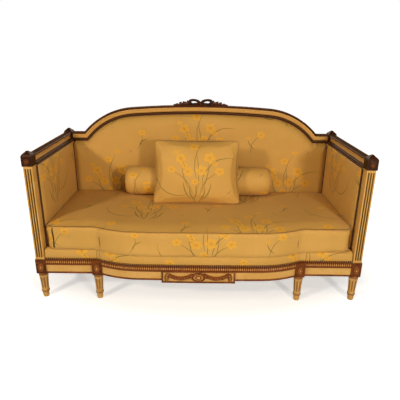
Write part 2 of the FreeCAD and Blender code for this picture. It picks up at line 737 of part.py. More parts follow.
def front_tablet():
    """The raised tablet at the middle of the front, a sunk field inside a plain border."""
    half = size("tablet_half_width")
    border = size("tablet_border")
    z_limits = (rail_bottom - size("tablet_drop"), rail_bottom - size("tablet_drop") + size("tablet_height"))
    thickness = value("tablet_thickness")
    slab = bow.strip(thickness, 0, (-half, half), z_limits)
    hollow = bow.strip(thickness, thickness - value("tablet_sink"), (border - half, half - border),
                       (z_limits[0] + border, z_limits[1] - border))
    rail, moulding = pieces_by_label("front_rail_centre"), pieces_by_label("rail_moulding_centre")
    tablet = slab.cut(hollow).cut(rail).cut(moulding)
    keep_shape("front_tablet", tablet)


def pieces_by_label(label):
    """The shape of a sub-part made before."""
    return next(piece.Shape for piece in pieces if piece.Label == label)


OVAL_SIDES = 16
DOME_FORM = ((1, 0), (0.86, 0.55), (0.5, 0.92), (0.2, 1))
PATERA_FORM = ((1, 0), (0.88, 0.6), (0.66, 0.4), (0.34, 1))
LEAF_FORM = ((0.5, -1), (1, -0.3), (1, 0.3), (0.5, 1))
SWAG_STEPS = 6
SWAG_TAPER = 0.6


def oval(centre, half_x, half_z, depth):
    """The corners of an oval on an upright plane, a distance in front of its centre."""
    turns = [2 * math.pi * index / OVAL_SIDES for index in range(OVAL_SIDES)]
    return [centre + Vector(half_x * math.cos(turn), -depth, half_z * math.sin(turn)) for turn in turns]


def carved_oval(centre, half_x, half_z, levels):
    """A solid through ovals; a level is a share of the half sizes and a distance in front."""
    return flat_faced([oval(centre, half_x * share, half_z * share, depth) for share, depth in levels])


def swag(start_x, end_x, hang, field):
    """A garland hanging between two places on a field, thickest at its middle."""
    drop, tube = value("swag_drop"), value("swag_tube") / 2
    run = end_x - start_x
    rings = []
    for index in range(SWAG_STEPS + 1):
        share = index / SWAG_STEPS
        x = start_x + run * share
        centre = Vector(x, bow.front_y(x, field), hang - drop * 4 * share * (1 - share))
        normal = Vector(drop * 4 * (1 - 2 * share), 0, run).normalize()
        radius = tube * (SWAG_TAPER + (1 - SWAG_TAPER) * math.sin(math.pi * share))
        turns = [math.pi * corner / 3 for corner in range(6)]
        rings.append([centre + normal * (radius * math.cos(turn)) - Vector(0, radius * math.sin(turn), 0)
                      for turn in turns])
    return flat_faced(rings)


def tablet_carving():
    """Two hanging swags between a middle boss and end drops, lying on the tablet's sunk field."""
    half = value("tablet_half_width") - value("tablet_border")
    low = float(rail_bottom) - value("tablet_drop") + value("tablet_border")
    high = low + value("tablet_height") - value("tablet_border") * 2
    field = value("tablet_thickness") - value("tablet_sink")
    relief, tube, deep = value("carving_relief"), value("swag_tube"), value("carving_set")
    centre = Vector(0, bow.front_y(0, field), (low + high) / 2)
    base = [(DOME_FORM[0][0], -deep)]
    levels = base + [(share, depth * relief) for share, depth in DOME_FORM]
    shapes = [carved_oval(centre, value("boss_width") / 2, value("boss_height") / 2, levels)]
    hang = high - value("swag_set")
    length = value("drop_length") / 2
    levels = base + [(share, depth * tube / 2) for share, depth in DOME_FORM]
    for name, side in SIDES:
        end = (half - tube) * side
        shapes.append(swag(value("boss_width") / 4 * side, end, hang, field))
        centre = Vector(end, bow.front_y(end, field), hang + value("drop_rise") - length)
        shapes.append(carved_oval(centre, value("drop_width") / 2, length, levels))
    window = bow.strip(field + relief * 2, field, (-half, half), (low, high))
    keep_shape("tablet_carving", fuse(shapes).common(window))


def patera(x, y, z, width, height):
    """A carved oval patera on an upright face: a raised rim, a dished ring and a boss."""
    levels = [(share, depth * value("patera_relief")) for share, depth in PATERA_FORM]
    return carved_oval(Vector(x, y, z), width / 2, height / 2, levels)


def paterae():
    """The oval paterae of the four rail blocks and the smaller ones of the two cap blocks."""
    middle = float(rail_bottom + size("seat_rail_height") / 2)
    width, height = value("patera_width"), value("patera_height")
    places = [(float(post_x), float(front)), (float(middle_x), float(middle_front))]
    rail_group = [patera(x * side, y, middle, width, height) for x, y in places for name, side in SIDES]
    keep_shape("rail_block_paterae", Part.makeCompound(rail_group))
    cap_z = float(size("arm_height") - size("cap_block_height") / 2)
    small = value("cap_patera")
    cap_group = [patera(float(post_x) * side, float(front), cap_z, small, small) for name, side in SIDES]
    keep_shape("cap_block_paterae", Part.makeCompound(cap_group))


# Moulded arm and crest rails

class Arch:
    """The outline of the back: level shoulders, a mitred step and a two-arc arch, at an inset."""

    def __init__(self):
        self.shoulder = value("arm_height")
        self.crown_angle, self.end_angle = value("arch_crown_angle"), value("arch_end_angle")
        self.turn = math.radians(self.end_angle)
        self.spring = value("arch_spring")
        self.step_x = float(post_inner - size("shoulder_length"))
        run = self.step_x - self.spring * math.cos(self.turn)
        rise = value("arch_rise") - self.spring * math.sin(self.turn)
        self.crown_radius, self.haunch_radius = two_arc_radii(run, rise, self.crown_angle, self.end_angle)
        self.top = self.shoulder + value("arch_rise")
        self.crown_centre = Vector(0, 0, self.top - self.crown_radius)
        step = self.crown_radius - self.haunch_radius
        self.haunch_centre = self.crown_centre + self.ray(self.crown_angle) * step

    def ray(self, angle):
        """The direction that leans from upright towards +X by an angle in degrees."""
        turn = math.radians(angle)
        return Vector(math.sin(turn), 0, math.cos(turn))

    def way(self):
        """The direction of the straight spring, outward and down."""
        return Vector(math.cos(self.turn), 0, -math.sin(self.turn))

    def spring_point(self, inset):
        """Where the right haunch ends and the straight spring begins."""
        return self.haunch_centre + self.ray(self.end_angle) * (self.haunch_radius - inset)

    def corner(self, inset):
        """The mitred corner between the right spring and the right shoulder."""
        return self.spring_point(inset) + self.way() * (self.spring + inset * math.tan(self.turn / 2))

    def top_z(self, x):
        """The height of the crown arc at a distance from the middle."""
        return self.crown_centre.z + math.sqrt(self.crown_radius ** 2 - x ** 2)

    def outline(self, inset, side_x, bottom, y):
        """The closed outline below the arch, between upright sides, on the plane at a Y."""
        def arc(centre, radius, first, last):
            points = [centre + self.ray(angle) * radius for angle in (first, (first + last) / 2, last)]
            return Part.Arc(*points).toShape()

        low, high = self.crown_angle, self.end_angle
        left_centre = Vector(-self.haunch_centre.x, 0, self.haunch_centre.z)
        spring, corner = self.spring_point(inset), self.corner(inset)
        right = [spring, corner, Vector(side_x, 0, self.shoulder - inset), Vector(side_x, 0, bottom)]
        path = right + [Vector(-point.x, 0, point.z) for point in reversed(right)]
        edges = [arc(self.crown_centre, self.crown_radius - inset, -low, low),
                 arc(self.haunch_centre, self.haunch_radius - inset, low, high)]
        edges += [Part.LineSegment(a, b).toShape() for a, b in zip(path, path[1:])]
        edges.append(arc(left_centre, self.haunch_radius - inset, -high, -low))
        wire = Part.Wire(edges)
        wire.translate(Vector(0, y, 0))
        return wire


arch = Arch()


def bead_points(start, base, width):
    """Three straight facets for a bead, as (inward, deep) points from one edge to the other."""
    rise = width / 2
    return [(start, base), (start + width / 4, base - rise), (start + width * 3 / 4, base - rise),
            (start + width, base)]


def moulded_section():
    """The rails' section as (inward, deep) points: a bead on each edge and a sunk cavetto between them."""
    width, deep = value("moulded_width"), value("moulded_thickness")
    outer, inner = value("outer_bead"), value("inner_bead")
    quirk, sink = value("bead_quirk"), value("cavetto_sink")
    base = max(outer, inner) / 2 + quirk / 2
    left, right = outer + quirk, width - inner - quirk
    hollow = (right - left) / 4
    floor = base + sink + value("cavetto_depth")
    cavetto = [(left, base + sink), (left + hollow, floor), (right - hollow, floor), (right, base + sink)]
    beads = bead_points(0, base, outer), bead_points(width - inner, base, inner)
    return beads[0] + cavetto + beads[1] + [(width, deep), (0, deep)]


def mirrored(shape):
    """The same shape on the other side of the sofa's middle."""
    return shape.mirror(Vector(), Vector(1, 0, 0))


def crest_rail():
    """The moulded rail over the back: shoulders, mitred steps and an arch, tenoned into the posts."""
    section = moulded_section()
    y = float(crest_front)
    width = value("moulded_width")

    def along(centre, radius, angle):
        return section_face(section, lambda inward, deep: centre + arch.ray(angle) * (radius - inward)
                            + Vector(0, y + deep, 0))

    low, high = arch.crown_angle, arch.end_angle
    crown = along(arch.crown_centre, arch.crown_radius, -low)
    crown = crown.revolve(arch.crown_centre, Vector(0, 1, 0), low * 2)
    haunch = along(arch.haunch_centre, arch.haunch_radius, low)
    haunch = haunch.revolve(arch.haunch_centre, Vector(0, 1, 0), high - low)
    reach = arch.spring + width * math.tan(arch.turn / 2) + width
    spring = along(arch.haunch_centre, arch.haunch_radius, high).extrude(arch.way() * reach)
    end = float(post_inner)
    shoulder = section_face(section, lambda inward, deep: Vector(end, y + deep, arch.shoulder - inward))
    shoulder = shoulder.extrude(Vector(-value("shoulder_length") - width, 0, 0))
    outer, inner = arch.corner(0), arch.corner(width)
    mitre = (inner - outer).normalize() * width
    far = Vector(value("overall_width"), 0, 0)

    def half_space(way):
        points = [outer - mitre, inner + mitre, inner + mitre + way, outer - mitre + way, outer - mitre]
        solid = Part.Face(Part.makePolygon(points)).extrude(Vector(0, value("moulded_thickness") * 2, 0))
        solid.translate(Vector(0, y - value("moulded_thickness") / 2, 0))
        return solid

    right = [haunch, spring.common(half_space(far * -1)), shoulder.common(half_space(far))]
    centre = rear_post_y + arm_rail_centre()
    right.append(box_between((post_inner - margin, post_inner + size("tenon_length")),
                             (centre - tenon_half, centre + tenon_half), moulded_tenons["lower"]))
    keep_shape("crest_rail", fuse([crown] + right + [mirrored(shape) for shape in right]))


def arm_rails():
    """The level moulded rails over the arms, their mouldings towards the seat."""
    section = moulded_section()
    length = float(back - post - front - post)
    for name, side in SIDES:
        inner = float(post_inner + size("moulding_set"))
        face = section_face(section, lambda inward, deep: Vector((inner + deep) * side, float(front + post),
                                                                 value("arm_height") - inward))
        bar = face.extrude(Vector(0, length, 0))
        centre = (post_x + arm_rail_centre()) * side
        tenons = box_between((centre - tenon_half, centre + tenon_half),
                             (front + post - size("tenon_length"), back - post + size("tenon_length")),
                             moulded_tenons["upper"])
        keep_shape(f"arm_rail_{name}", fuse([bar, tenons]))


def crest_carving():
    """A carved ribbon bow on the crest: two open loops and a knot between sprays of leaves."""
    y = float(crest_front) + value("moulded_thickness") / 2
    deep = value("bow_thickness") / 2
    tall, wide, ribbon = value("bow_loop_height"), value("bow_loop_width"), value("bow_ribbon")
    knot_tall = value("bow_knot_height")
    levels = [(share, depth * deep) for share, depth in LEAF_FORM]
    shapes = [carved_oval(Vector(0, y, arch.top + knot_tall / 3), value("bow_knot_width") / 2,
                          knot_tall / 2, levels)]
    count = int(value("bow_leaf_count"))
    start = value("bow_leaf_start")
    step = (value("bow_half_width") - start) / (count + 1)
    for name, side in SIDES:
        centre = Vector((wide + ribbon) / 2 * side, y, arch.top + value("bow_height") - tall / 2)
        outer, inner = ([oval(centre, wide / 2 - inset, tall / 2 - inset, depth) for depth in (deep, -deep)]
                        for inset in (0, ribbon))
        shapes.append(flat_faced(outer).cut(flat_faced(inner)))
        for index in range(count):
            x = start + step * (index + 1)
            height = value("bow_leaf_height") * (1 - index / (count + 2))
            shapes.append(carved_oval(Vector(x * side, y, arch.top_z(x)), step, height, levels))
    keep_shape("crest_carving", fuse(shapes).cut(pieces_by_label("crest_rail")))


# Hidden structure and covers

def back_stiles():
    """Uprights from the lower back rail to the underside of the crest rail."""
    half = size("stile_width") / 2
    inside = Part.Face(arch.outline(value("moulded_width"), float(post_inner), float(deck_top), 0))
    inside = inside.extrude(Vector(0, value("frame_depth"), 0))
    for name, side in SIDES:
        x = size("stile_offset") * side
        bar = box_between((x - half, x + half), (stile_front, stile_rear),
                          (inner_rail_top, Size.of(arch.top)))
        keep_shape(f"back_stile_{name}", bar.common(inside))


def outside_panels():
    """The covered panels on the outside of the back and the arms."""
    slack = value("joint_clearance")
    thickness = value("panel_thickness")
    wire = arch.outline(value("moulded_width") + slack, float(shaft_inner) - slack, float(rail_top) + slack,
                        float(stile_rear))
    keep_shape("outside_back_panel", Part.Face(wire).extrude(Vector(0, thickness, 0)))
    outer = post_x + inner_half
    for name, side in SIDES:
        body = new_body(f"outside_arm_panel_{name}")
        slack = size("joint_clearance")
        block(body, f"outside_arm_panel_{name}_sheet", across(side, outer, outer + size("panel_thickness")),
              (shaft_rear + slack, rear_shaft_front - slack), (rail_top + slack, moulded_bottom - slack))


def webbing():
    """Linen webbing: straps over the seat rails, a second layer across them, and straps across the back."""
    width, thin = value("web_width"), value("web_thickness")
    top = float(rail_top)
    inside = Part.Face(bow.plan(-value("rail_thickness") / 2, float(post_inner), float(rear_rail_y())))
    inside = inside.extrude(Vector(0, 0, thin))
    inside.translate(Vector(0, 0, top))
    count = int(float(post_inner) * 2 / value("web_pitch")) - 1
    straps = []
    for index in range(count):
        x = value("web_pitch") * (index - (count - 1) / 2)
        strap = box_between((x - width / 2, x + width / 2), (front - size("bow_projection"), back),
                            (Size.of(top), Size.of(top + thin)))
        straps.append(strap.common(inside))
    first, last = float(front + post) + width, float(back - post) - width
    rows = int(value("cross_web_count"))
    for index in range(rows):
        y = first + (last - first) * (index + 0.5) / rows
        straps.append(box_between((-post_x, post_x), (y - width / 2, y + width / 2),
                                  (Size.of(top + thin), Size.of(top + thin * 2))))
    keep_shape("seat_webbing", Part.makeCompound(straps))
    low, high = float(inner_rail_top), float(moulded_bottom)
    rows = int(value("back_web_count"))
    reach = shaft_inner - size("joint_clearance")
    straps = []
    for index in range(rows):
        z = low + (high - low) * (index + 0.5) / rows
        straps.append(box_between((-reach, reach), (back_pad_rear, stile_front),
                                  (z - width / 2, z + width / 2)))
    keep_shape("back_webbing", Part.makeCompound(straps))


# Upholstery

def seat_deck():
    """The stuffed platform of the seat, its border swelling over the front rail."""
    slack = value("soft_clearance")
    edge, low, high = value("deck_edge"), float(deck_bottom), float(deck_top)
    half, rear = float(post_inner) - slack, float(back - post) - slack
    levels = ((low, 0), (low + edge, value("deck_set") / 2), (high - edge, value("deck_set") / 2),
              (high, -edge / 2))
    wires = []
    for z, swell in levels:
        wire = bow.plan(swell - value("deck_set"), half + min(swell, 0), rear)
        wire.translate(Vector(0, 0, z))
        wires.append(wire)
    keep_shape("seat_deck", ruled(wires))


PAD_ROLL = ((0, 0), (0.12, 0.35), (0.45, 0.75), (1, 1))


def back_pad():
    """The stuffed inside back, rolling away from the crest rail and flat towards the seat."""
    slack = value("soft_clearance")
    edge = float(crest_front) + value("inner_bead") / 2
    levels = [(0, float(back_pad_rear))]
    depth = float(back_pad_front) - edge
    levels += [(inset * value("pad_roll"), edge + depth * swell) for inset, swell in PAD_ROLL]
    side = float(arm_pad_face) - slack
    top, share = value("moulded_width") + slack, value("pad_side_share")
    wires = [arch.outline(top + inset, side - inset * share, float(pad_bottom), y) for inset, y in levels]
    keep_shape("back_pad", ruled(wires))


def arm_pads():
    """The stuffed insides of the arms, rolling away from the arm rail and the front post."""
    slack = value("soft_clearance")
    levels = [(0, float(arm_pad_rear))]
    levels += [(inset * value("pad_roll"), float(arm_pad_edge) - value("arm_swell") * swell)
               for inset, swell in PAD_ROLL]
    for name, side in SIDES:
        wires = []
        for inset, x in levels:
            near, far = float(shaft_rear) + slack + inset, float(rear_shaft_front) - slack
            low, high = float(pad_bottom), float(moulded_bottom) - slack - inset
            corners = [(near, low), (far, low), (far, high), (near, high), (near, low)]
            wires.append(Part.makePolygon([Vector(x * side, y, z) for y, z in corners]))
        keep_shape(f"arm_pad_{name}", ruled(wires))


# Loose cushions

CROWN_FORM = ((0.5, 0.3), (0.85, 0.65), (1, 1))


def seat_cushion():
    """The bow-fronted seat cushion: drawn-in boxing between two seams and a broad crown."""
    boxing, crown = value("cushion_boxing"), value("cushion_crown")
    edge, reach = value("cushion_edge"), value("cushion_crown_reach")
    levels = [(0, -edge), (edge, 0), (boxing / 2, -value("cushion_draw_in")), (boxing - edge, 0),
              (boxing, -edge)]
    levels += [(boxing + crown * rise, -reach * inset) for rise, inset in CROWN_FORM]
    wires = []
    for rise, offset in levels:
        wire = bow.plan(value("cushion_overhang") + offset, float(cushion_half) + offset,
                        float(cushion_rear) + offset, value("cushion_corner"))
        wire.translate(Vector(0, 0, float(cushion_bottom) + rise))
        wires.append(wire)
    keep_shape("seat_cushion", ruled(wires))


bolster_radius = size("bolster_diameter") / 2
bolster_y = back_pad_front - size("bolster_gap") - bolster_radius
bolster_z = seat_height + bolster_radius + size("soft_clearance")


def bolster():
    """A round bolster with domed ends, bevelled edges and a slight swell towards its middle."""
    body = new_body("bolster")
    half = size("bolster_length") / 2
    dome, edge = size("bolster_end_dome"), size("bolster_edge")
    end_radius = bolster_radius - size("bolster_waist")
    rim = end_radius - edge
    shoulder = half - dome - edge
    full = shoulder - size("bolster_taper")
    outline = [(-half, 0), (-half, rim / 2), (dome - half, rim), (-shoulder, end_radius),
               (-full, bolster_radius),
               (full, bolster_radius), (shoulder, end_radius), (half - dome, rim), (half, rim / 2), (half, 0)]
    sketch = outline_sketch(body, "bolster_outline", "XY_Plane", outline)
    revolve(body, "bolster_roll", sketch, "X_Axis")
    place(body, size("bolster_shift"), bolster_y, bolster_z)


PILLOW_FORM = ((0, 0), (0.08, 0.42), (0.3, 0.75), (0.65, 0.95), (1, 1))
PILLOW_SIDE_STEPS = 4


def pillow():
    """A knife-edged pillow with drawn-in sides, leaning back against the bolster."""
    wide, tall, thick = value("pillow_width") / 2, value("pillow_height") / 2, value("pillow_thickness") / 2
    reach = value("pillow_crown_reach")

    def section(inset, depth):
        draw = value("pillow_draw_in") * (1 - inset / reach)
        x, z = wide - inset, tall - inset
        points = []
        for step in range(PILLOW_SIDE_STEPS):
            share = step / PILLOW_SIDE_STEPS
            along, sag = share * 2 - 1, draw * 4 * share * (1 - share)
            points.append((Vector(x * along, depth, sag - z), Vector(x - sag, depth, z * along),
                           Vector(-x * along, depth, z - sag), Vector(sag - x, depth, -z * along)))
        return [point for side in zip(*points) for point in side]

    front_half = [section(share * reach, -depth * thick) for share, depth in reversed(PILLOW_FORM)]
    rear_half = [section(share * reach, depth * thick) for share, depth in PILLOW_FORM[1:]]
    solid = flat_faced(front_half + rear_half)
    lean = math.radians(value("pillow_lean"))
    rise = float(seat_height) + value("soft_clearance") + tall * math.cos(lean)
    distance = float(bolster_radius) + thick + value("pillow_bolster_gap")
    set_back = (distance + (float(bolster_z) - rise) * math.sin(lean)) / math.cos(lean)
    piece = keep_shape("pillow", solid)
    piece.Placement = Placement(Vector(value("pillow_shift"), float(bolster_y) - set_back, rise),
                                Rotation(Vector(1, 0, 0), -value("pillow_lean")))


def build():
    """Make every sub-part of the sofa."""
    for name, side in SIDES:
        front_post(name, side)
        turned_leg(f"front_leg_{name}", post_x * side, front_post_y)
        middle_block(name, side)
        turned_leg(f"middle_leg_{name}", middle_x * side, middle_y)
        rear_post(name, side)
        rear_middle_leg(name, side)
    seat_rails()
    seat_stretchers()
    corner_blocks()
    inner_rails()
    front_rail_centre()
    rail_mouldings()
    front_tablet()
    tablet_carving()
    paterae()
    crest_rail()
    arm_rails()
    crest_carving()
    back_stiles()
    outside_panels()
    webbing()
    seat_deck()
    back_pad()
    arm_pads()
    seat_cushion()
    bolster()
    pillow()


def check():
    """Stop if any object failed or any sub-part isn't a sound solid."""
    doc.recompute()
    failed = [item.Name for item in doc.Objects if "Invalid" in item.State or "Error" in item.State]
    failed += [piece.Label for piece in pieces if piece.Shape.isNull() or not piece.Shape.isValid()
               or not piece.Shape.Solids]
    if failed:
        raise RuntimeError(f"failed objects: {failed}")


def write():
    """Write each sub-part to a file of its own name."""
    os.makedirs("parts", exist_ok=True)
    for piece in pieces:
        piece.Shape.exportStep(f"parts/{piece.Label}.step")


build()
check()
write()
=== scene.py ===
import math
from functools import partialmethod, reduce

import bmesh
import bpy
import numpy as np
from mathutils import Matrix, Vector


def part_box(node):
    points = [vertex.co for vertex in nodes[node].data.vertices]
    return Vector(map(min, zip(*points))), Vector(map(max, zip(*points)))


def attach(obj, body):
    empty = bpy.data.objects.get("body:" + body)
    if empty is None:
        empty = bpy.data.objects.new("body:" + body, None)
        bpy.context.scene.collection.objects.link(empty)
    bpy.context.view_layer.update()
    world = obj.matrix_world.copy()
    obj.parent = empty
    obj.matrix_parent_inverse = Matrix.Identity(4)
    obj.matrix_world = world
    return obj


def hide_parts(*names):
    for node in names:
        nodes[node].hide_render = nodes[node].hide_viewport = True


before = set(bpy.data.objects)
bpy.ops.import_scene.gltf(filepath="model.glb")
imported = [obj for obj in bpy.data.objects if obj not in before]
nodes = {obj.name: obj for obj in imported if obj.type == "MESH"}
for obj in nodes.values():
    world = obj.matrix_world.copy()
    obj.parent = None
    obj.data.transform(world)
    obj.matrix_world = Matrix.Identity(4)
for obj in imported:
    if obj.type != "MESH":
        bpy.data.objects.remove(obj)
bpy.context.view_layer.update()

# Places shared with the solids, in metres

POST_X = 0.897
POST_INNER = 0.869
POST_HALF = 0.028
FRONT = -0.3405
BACK = 0.4165
RAIL_BOTTOM = 0.162
RAIL_TOP = 0.252
RAIL_FACE = -0.3325
RAIL_WIDTH = 0.056
ARM_TOP = 0.846
MIDDLE_X = 0.576
MIDDLE_FRONT = -0.3505
CREST_FRONT = 0.3635
SEAM_LOW = 0.3133
SEAM_HIGH = 0.4483
SEAT_TOP = 0.4703
SIDES = (("left", -1), ("right", 1))
ALONG_X, ALONG_Y, ALONG_Z = (1.0, 0.0, 0.0), (0.0, 1.0, 0.0), (0.0, 0.0, 1.0)


def tint(red, green, blue):
    """A linear colour from the three screen levels, 0 to 255."""
    levels = np.array((red, green, blue)) / 255
    linear = np.where(levels <= 0.04045, levels / 12.92, ((levels + 0.055) / 1.055) ** 2.4)
    return (*(float(level) for level in linear), 1.0)


# Shader sums

class Field:
    """A shader socket that takes part in Python sums: each operation adds one Math node to the same tree."""

    def __init__(self, tree, socket):
        self.tree = tree
        self.socket = socket

    def node(self, kind, settings, inputs, out=0):
        """Add a node of a type, with its settings set first and then its sockets' values or links."""
        made = self.tree.nodes.new(kind)
        for name, amount in settings.items():
            if name == "stops":
                ramp = made.color_ramp.elements
                while len(ramp) < len(amount):
                    ramp.new(0.5)
                for stop, (place, colour) in zip(ramp, amount):
                    stop.position = place
                    stop.color = colour
            else:
                setattr(made, name, amount)
        for key, amount in inputs.items():
            if isinstance(amount, Field):
                self.tree.links.new(amount.socket, made.inputs[key])
            else:
                made.inputs[key].default_value = amount
        return Field(self.tree, made.outputs[out])

    def math(self, operation, *others):
        return self.node("ShaderNodeMath", {"operation": operation}, dict(enumerate((self, *others))))

    __add__ = __radd__ = partialmethod(math, "ADD")
    __mul__ = __rmul__ = partialmethod(math, "MULTIPLY")
    __sub__ = partialmethod(math, "SUBTRACT")
    __truediv__ = partialmethod(math, "DIVIDE")
    __lt__ = partialmethod(math, "LESS_THAN")
    __gt__ = partialmethod(math, "GREATER_THAN")
    __abs__ = partialmethod(math, "ABSOLUTE")
    fraction = partialmethod(math, "FRACT")
    sine = partialmethod(math, "SINE")

    def __rsub__(self, other):
        return self.node("ShaderNodeMath", {"operation": "SUBTRACT"}, {0: other, 1: self})

    def fade(self, low, high):
        """Rises smoothly from 0 at the low value to 1 at the high one."""
        settings = {"interpolation_type": "SMOOTHSTEP"}
        return self.node("ShaderNodeMapRange", settings, {"Value": self, "From Min": low, "From Max": high})

    def within(self, low, high):
        """1 between a low and a high edge, each given as the two values between which it fades."""
        return self.fade(*low) * (1 - self.fade(*high))

    def blend(self, under, over):
        """The first colour where this is 0 and the second where it is 1."""
        settings = {"data_type": "RGBA", "clamp_factor": True}
        return self.node("ShaderNodeMix", settings, {0: self, 6: under, 7: over}, out=2)

    def parts(self):
        """The X, Y and Z of a vector."""
        split = self.node("ShaderNodeSeparateXYZ", {}, {0: self})
        return tuple(Field(self.tree, output) for output in split.socket.node.outputs)

    def noise(self, scale, detail=3.0, rough=0.5):
        """Cloudy values about 0.5 over this vector."""
        inputs = {"Vector": self, "Scale": scale, "Detail": detail, "Roughness": rough}
        return self.node("ShaderNodeTexNoise", {}, inputs)

    def stretch(self, factors):
        """This vector times three factors."""
        return self.node("ShaderNodeVectorMath", {"operation": "MULTIPLY"}, {0: self, 1: factors})


def distance(along, aside):
    """The length of a step from its two parts."""
    return (along * along + aside * aside).math("SQRT")


def highest(fields):
    """The greatest of several fields."""
    return reduce(lambda one, other: one.math("MAXIMUM", other), fields)


class Finish:
    """A material made of one principled surface and the fields that feed it."""

    def __init__(self, name, **constants):
        self.material = bpy.data.materials.new(name)
        self.material.use_nodes = True
        self.tree = self.material.node_tree
        self.surface = next(node for node in self.tree.nodes if node.type == "BSDF_PRINCIPLED")
        for key, amount in constants.items():
            self.surface.inputs[key.replace("_", " ")].default_value = amount
        self.start = Field(self.tree, self.surface.inputs[0])

    def attribute(self, name):
        """A value kept on the piece's own points."""
        return self.start.node("ShaderNodeAttribute", {"attribute_name": name}, {}, out="Fac")

    def feed(self, bump=None, depth=0.0004, **fields):
        """Link fields to the surface's sockets, and a height to its normal."""
        for key, field in fields.items():
            self.tree.links.new(field.socket, self.surface.inputs[key.replace("_", " ")])
        if bump is not None:
            made = self.start.node("ShaderNodeBump", {}, {"Height": bump, "Distance": depth, "Strength": 1.0})
            self.tree.links.new(made.socket, self.surface.inputs["Normal"])
        return self.material

    def coat(self, colour, grain, rough, change=0.2, depth=0.0004, **fields):
        """Feed a colour, and a grain that changes the roughness and the height."""
        return self.feed(grain, depth, Base_Color=colour, Roughness=grain * change + rough, **fields)


FINISHES = {}


def material(place="Object", **constants):
    """Keep what a function makes of a finish and its places, under the function's name.

    The places are points in the sofa's own frame, or as UV on the piece's own map, in metres of cloth.
    """
    def keep(maker):
        finish = Finish(maker.__name__, **constants)
        spot = finish.start.node("ShaderNodeTexCoord", {}, {}, out=place)
        FINISHES[maker.__name__] = maker(finish, spot)
        return maker

    return keep


# Paint and gilding

CREAM = tint(216, 168, 88)
CREAM_LIGHT = tint(228, 184, 108)
CREAM_SHADE = tint(138, 92, 40)
TAUPE = tint(176, 132, 74)
GILT_DARK = tint(42, 17, 5)
GILT_MID = tint(96, 48, 16)
GILT_BRIGHT = tint(206, 150, 66)
GIMP = tint(54, 26, 8)

# Edges of painted parts, each as the two heights or distances between which it fades

FILLET_EDGE = (0.1715, 0.1735)
SHAFT_EDGES = (0.250, 0.254), (0.790, 0.794)
FLUTE_EDGES = (0.262, 0.268), (0.776, 0.782)
RING_EDGES = (0.0345, 0.0365), (0.0445, 0.0465)
COLLAR_EDGE = (0.1445, 0.1470)

# Stripes across the arm and crest rails, from the back over the top and the face

# The gilt lines at 0.44 and 0.525, at the outer bead, and the light line at 0.797, on the inner bead, are
# painted highlights
STRIPES = (
    (0.0, CREAM), (0.05, CREAM), (0.07, GILT_DARK), (0.16, GILT_DARK), (0.19, GILT_MID), (0.22, GILT_DARK),
    (0.29, GILT_DARK), (0.32, GILT_MID), (0.35, GILT_DARK), (0.40, GILT_DARK), (0.44, GILT_MID),
    (0.48, GILT_DARK), (0.525, GILT_MID), (0.54, CREAM_LIGHT), (0.59, CREAM_LIGHT), (0.605, TAUPE),
    (0.625, CREAM), (0.68, CREAM), (0.70, TAUPE), (0.72, CREAM), (0.735, CREAM_SHADE), (0.75, GIMP),
    (0.785, GIMP), (0.797, CREAM_SHADE), (0.81, GIMP), (1.0, GIMP))


def aged_cream(spot):
    """Cream paint colour: cloudy warm patches, fine brushing and small worn spots."""
    cloud = spot.noise(9.0, 4.0).fade(0.35, 0.7)
    brush = spot.stretch((60.0, 60.0, 6.0)).noise(8.0, 2.0).fade(0.3, 0.75)
    wear = spot.noise(55.0, 5.0, 0.65).fade(0.62, 0.74)
    brushed = (brush * 0.22).blend(cloud.blend(CREAM, CREAM_LIGHT), CREAM_SHADE)
    return (wear * 0.55).blend(brushed, CREAM_SHADE)


def rubbed_gilt(spot, cloud_scale, low, high, rub_scale, rub_low, rub_share):
    """Worn gilding: a cloudy brown ground between two colours, with gold left where it is rubbed."""
    rub = spot.noise(rub_scale, 5.0, 0.6).fade(rub_low, 0.80)
    ground = spot.noise(cloud_scale, 3.0).fade(0.3, 0.7).blend(low, high)
    return (rub * rub_share).blend(ground, GILT_BRIGHT)


def dark_gilt(spot):
    """The darkened gilding of caps."""
    return rubbed_gilt(spot, 14.0, GILT_DARK, tint(60, 27, 8), 52.0, 0.58, 0.4)


def brown_gilt(spot):
    """Gilding worn to its warm brown ground, for fillets, frames and blocks."""
    return rubbed_gilt(spot, 16.0, tint(92, 44, 14), tint(136, 72, 26), 60.0, 0.55, 0.5)


def wood_grain(spot, along, scale):
    """A grain drawn out along the height."""
    return spot.stretch((40.0, 40.0, along)).noise(scale, 3.0)


@material(Specular_IOR_Level=0.4)
def cream_paint(finish, spot):
    """Aged cream paint for the rails, with worn gilding along the lower fillet."""
    *_, z = spot.parts()
    fillet = 1 - z.fade(*FILLET_EDGE)
    return finish.coat(fillet.blend(aged_cream(spot), brown_gilt(spot)), wood_grain(spot, 4.0, 10.0), 0.38)


@material(Specular_IOR_Level=0.4)
def plain_cream(finish, spot):
    """Aged cream paint for the square legs."""
    return finish.coat(aged_cream(spot), wood_grain(spot, 4.0, 10.0), 0.38)


@material(Specular_IOR_Level=0.2)
def post_paint(finish, spot):
    """Corner posts: gilt blocks and caps, a cream shaft with flutes on its two outer faces darkened by
    painted shade.
    """
    x, y, z = spot.parts()
    shaft = z.within(*SHAFT_EDGES) + (z < RAIL_BOTTOM - 0.0005)

    def flute(along):
        """Three flutes side by side about the middle of a face."""
        part = (along / 0.013 + 0.5).fraction()
        return (1 - abs(part - 0.5).fade(0.25, 0.36)) * (abs(along) < 0.0195)

    on_front, on_side = y < FRONT + 0.012, abs(x) > POST_X + 0.012
    fluted = flute(abs(x) - POST_X) * on_front + flute(y - (FRONT + POST_HALF)) * on_side
    # Painted shade: the hollows of the flutes are filled with dark gilt colour
    dark = z.within(*FLUTE_EDGES) * fluted.math("MINIMUM", 1.0)
    cream = (dark * 0.85).blend(aged_cream(spot), GILT_DARK)
    block = (0.7 - z.fade(0.25, 0.26) * 0.7).blend(dark_gilt(spot), brown_gilt(spot))
    return finish.coat(shaft.blend(block, cream), wood_grain(spot, 5.0, 12.0), 0.36)


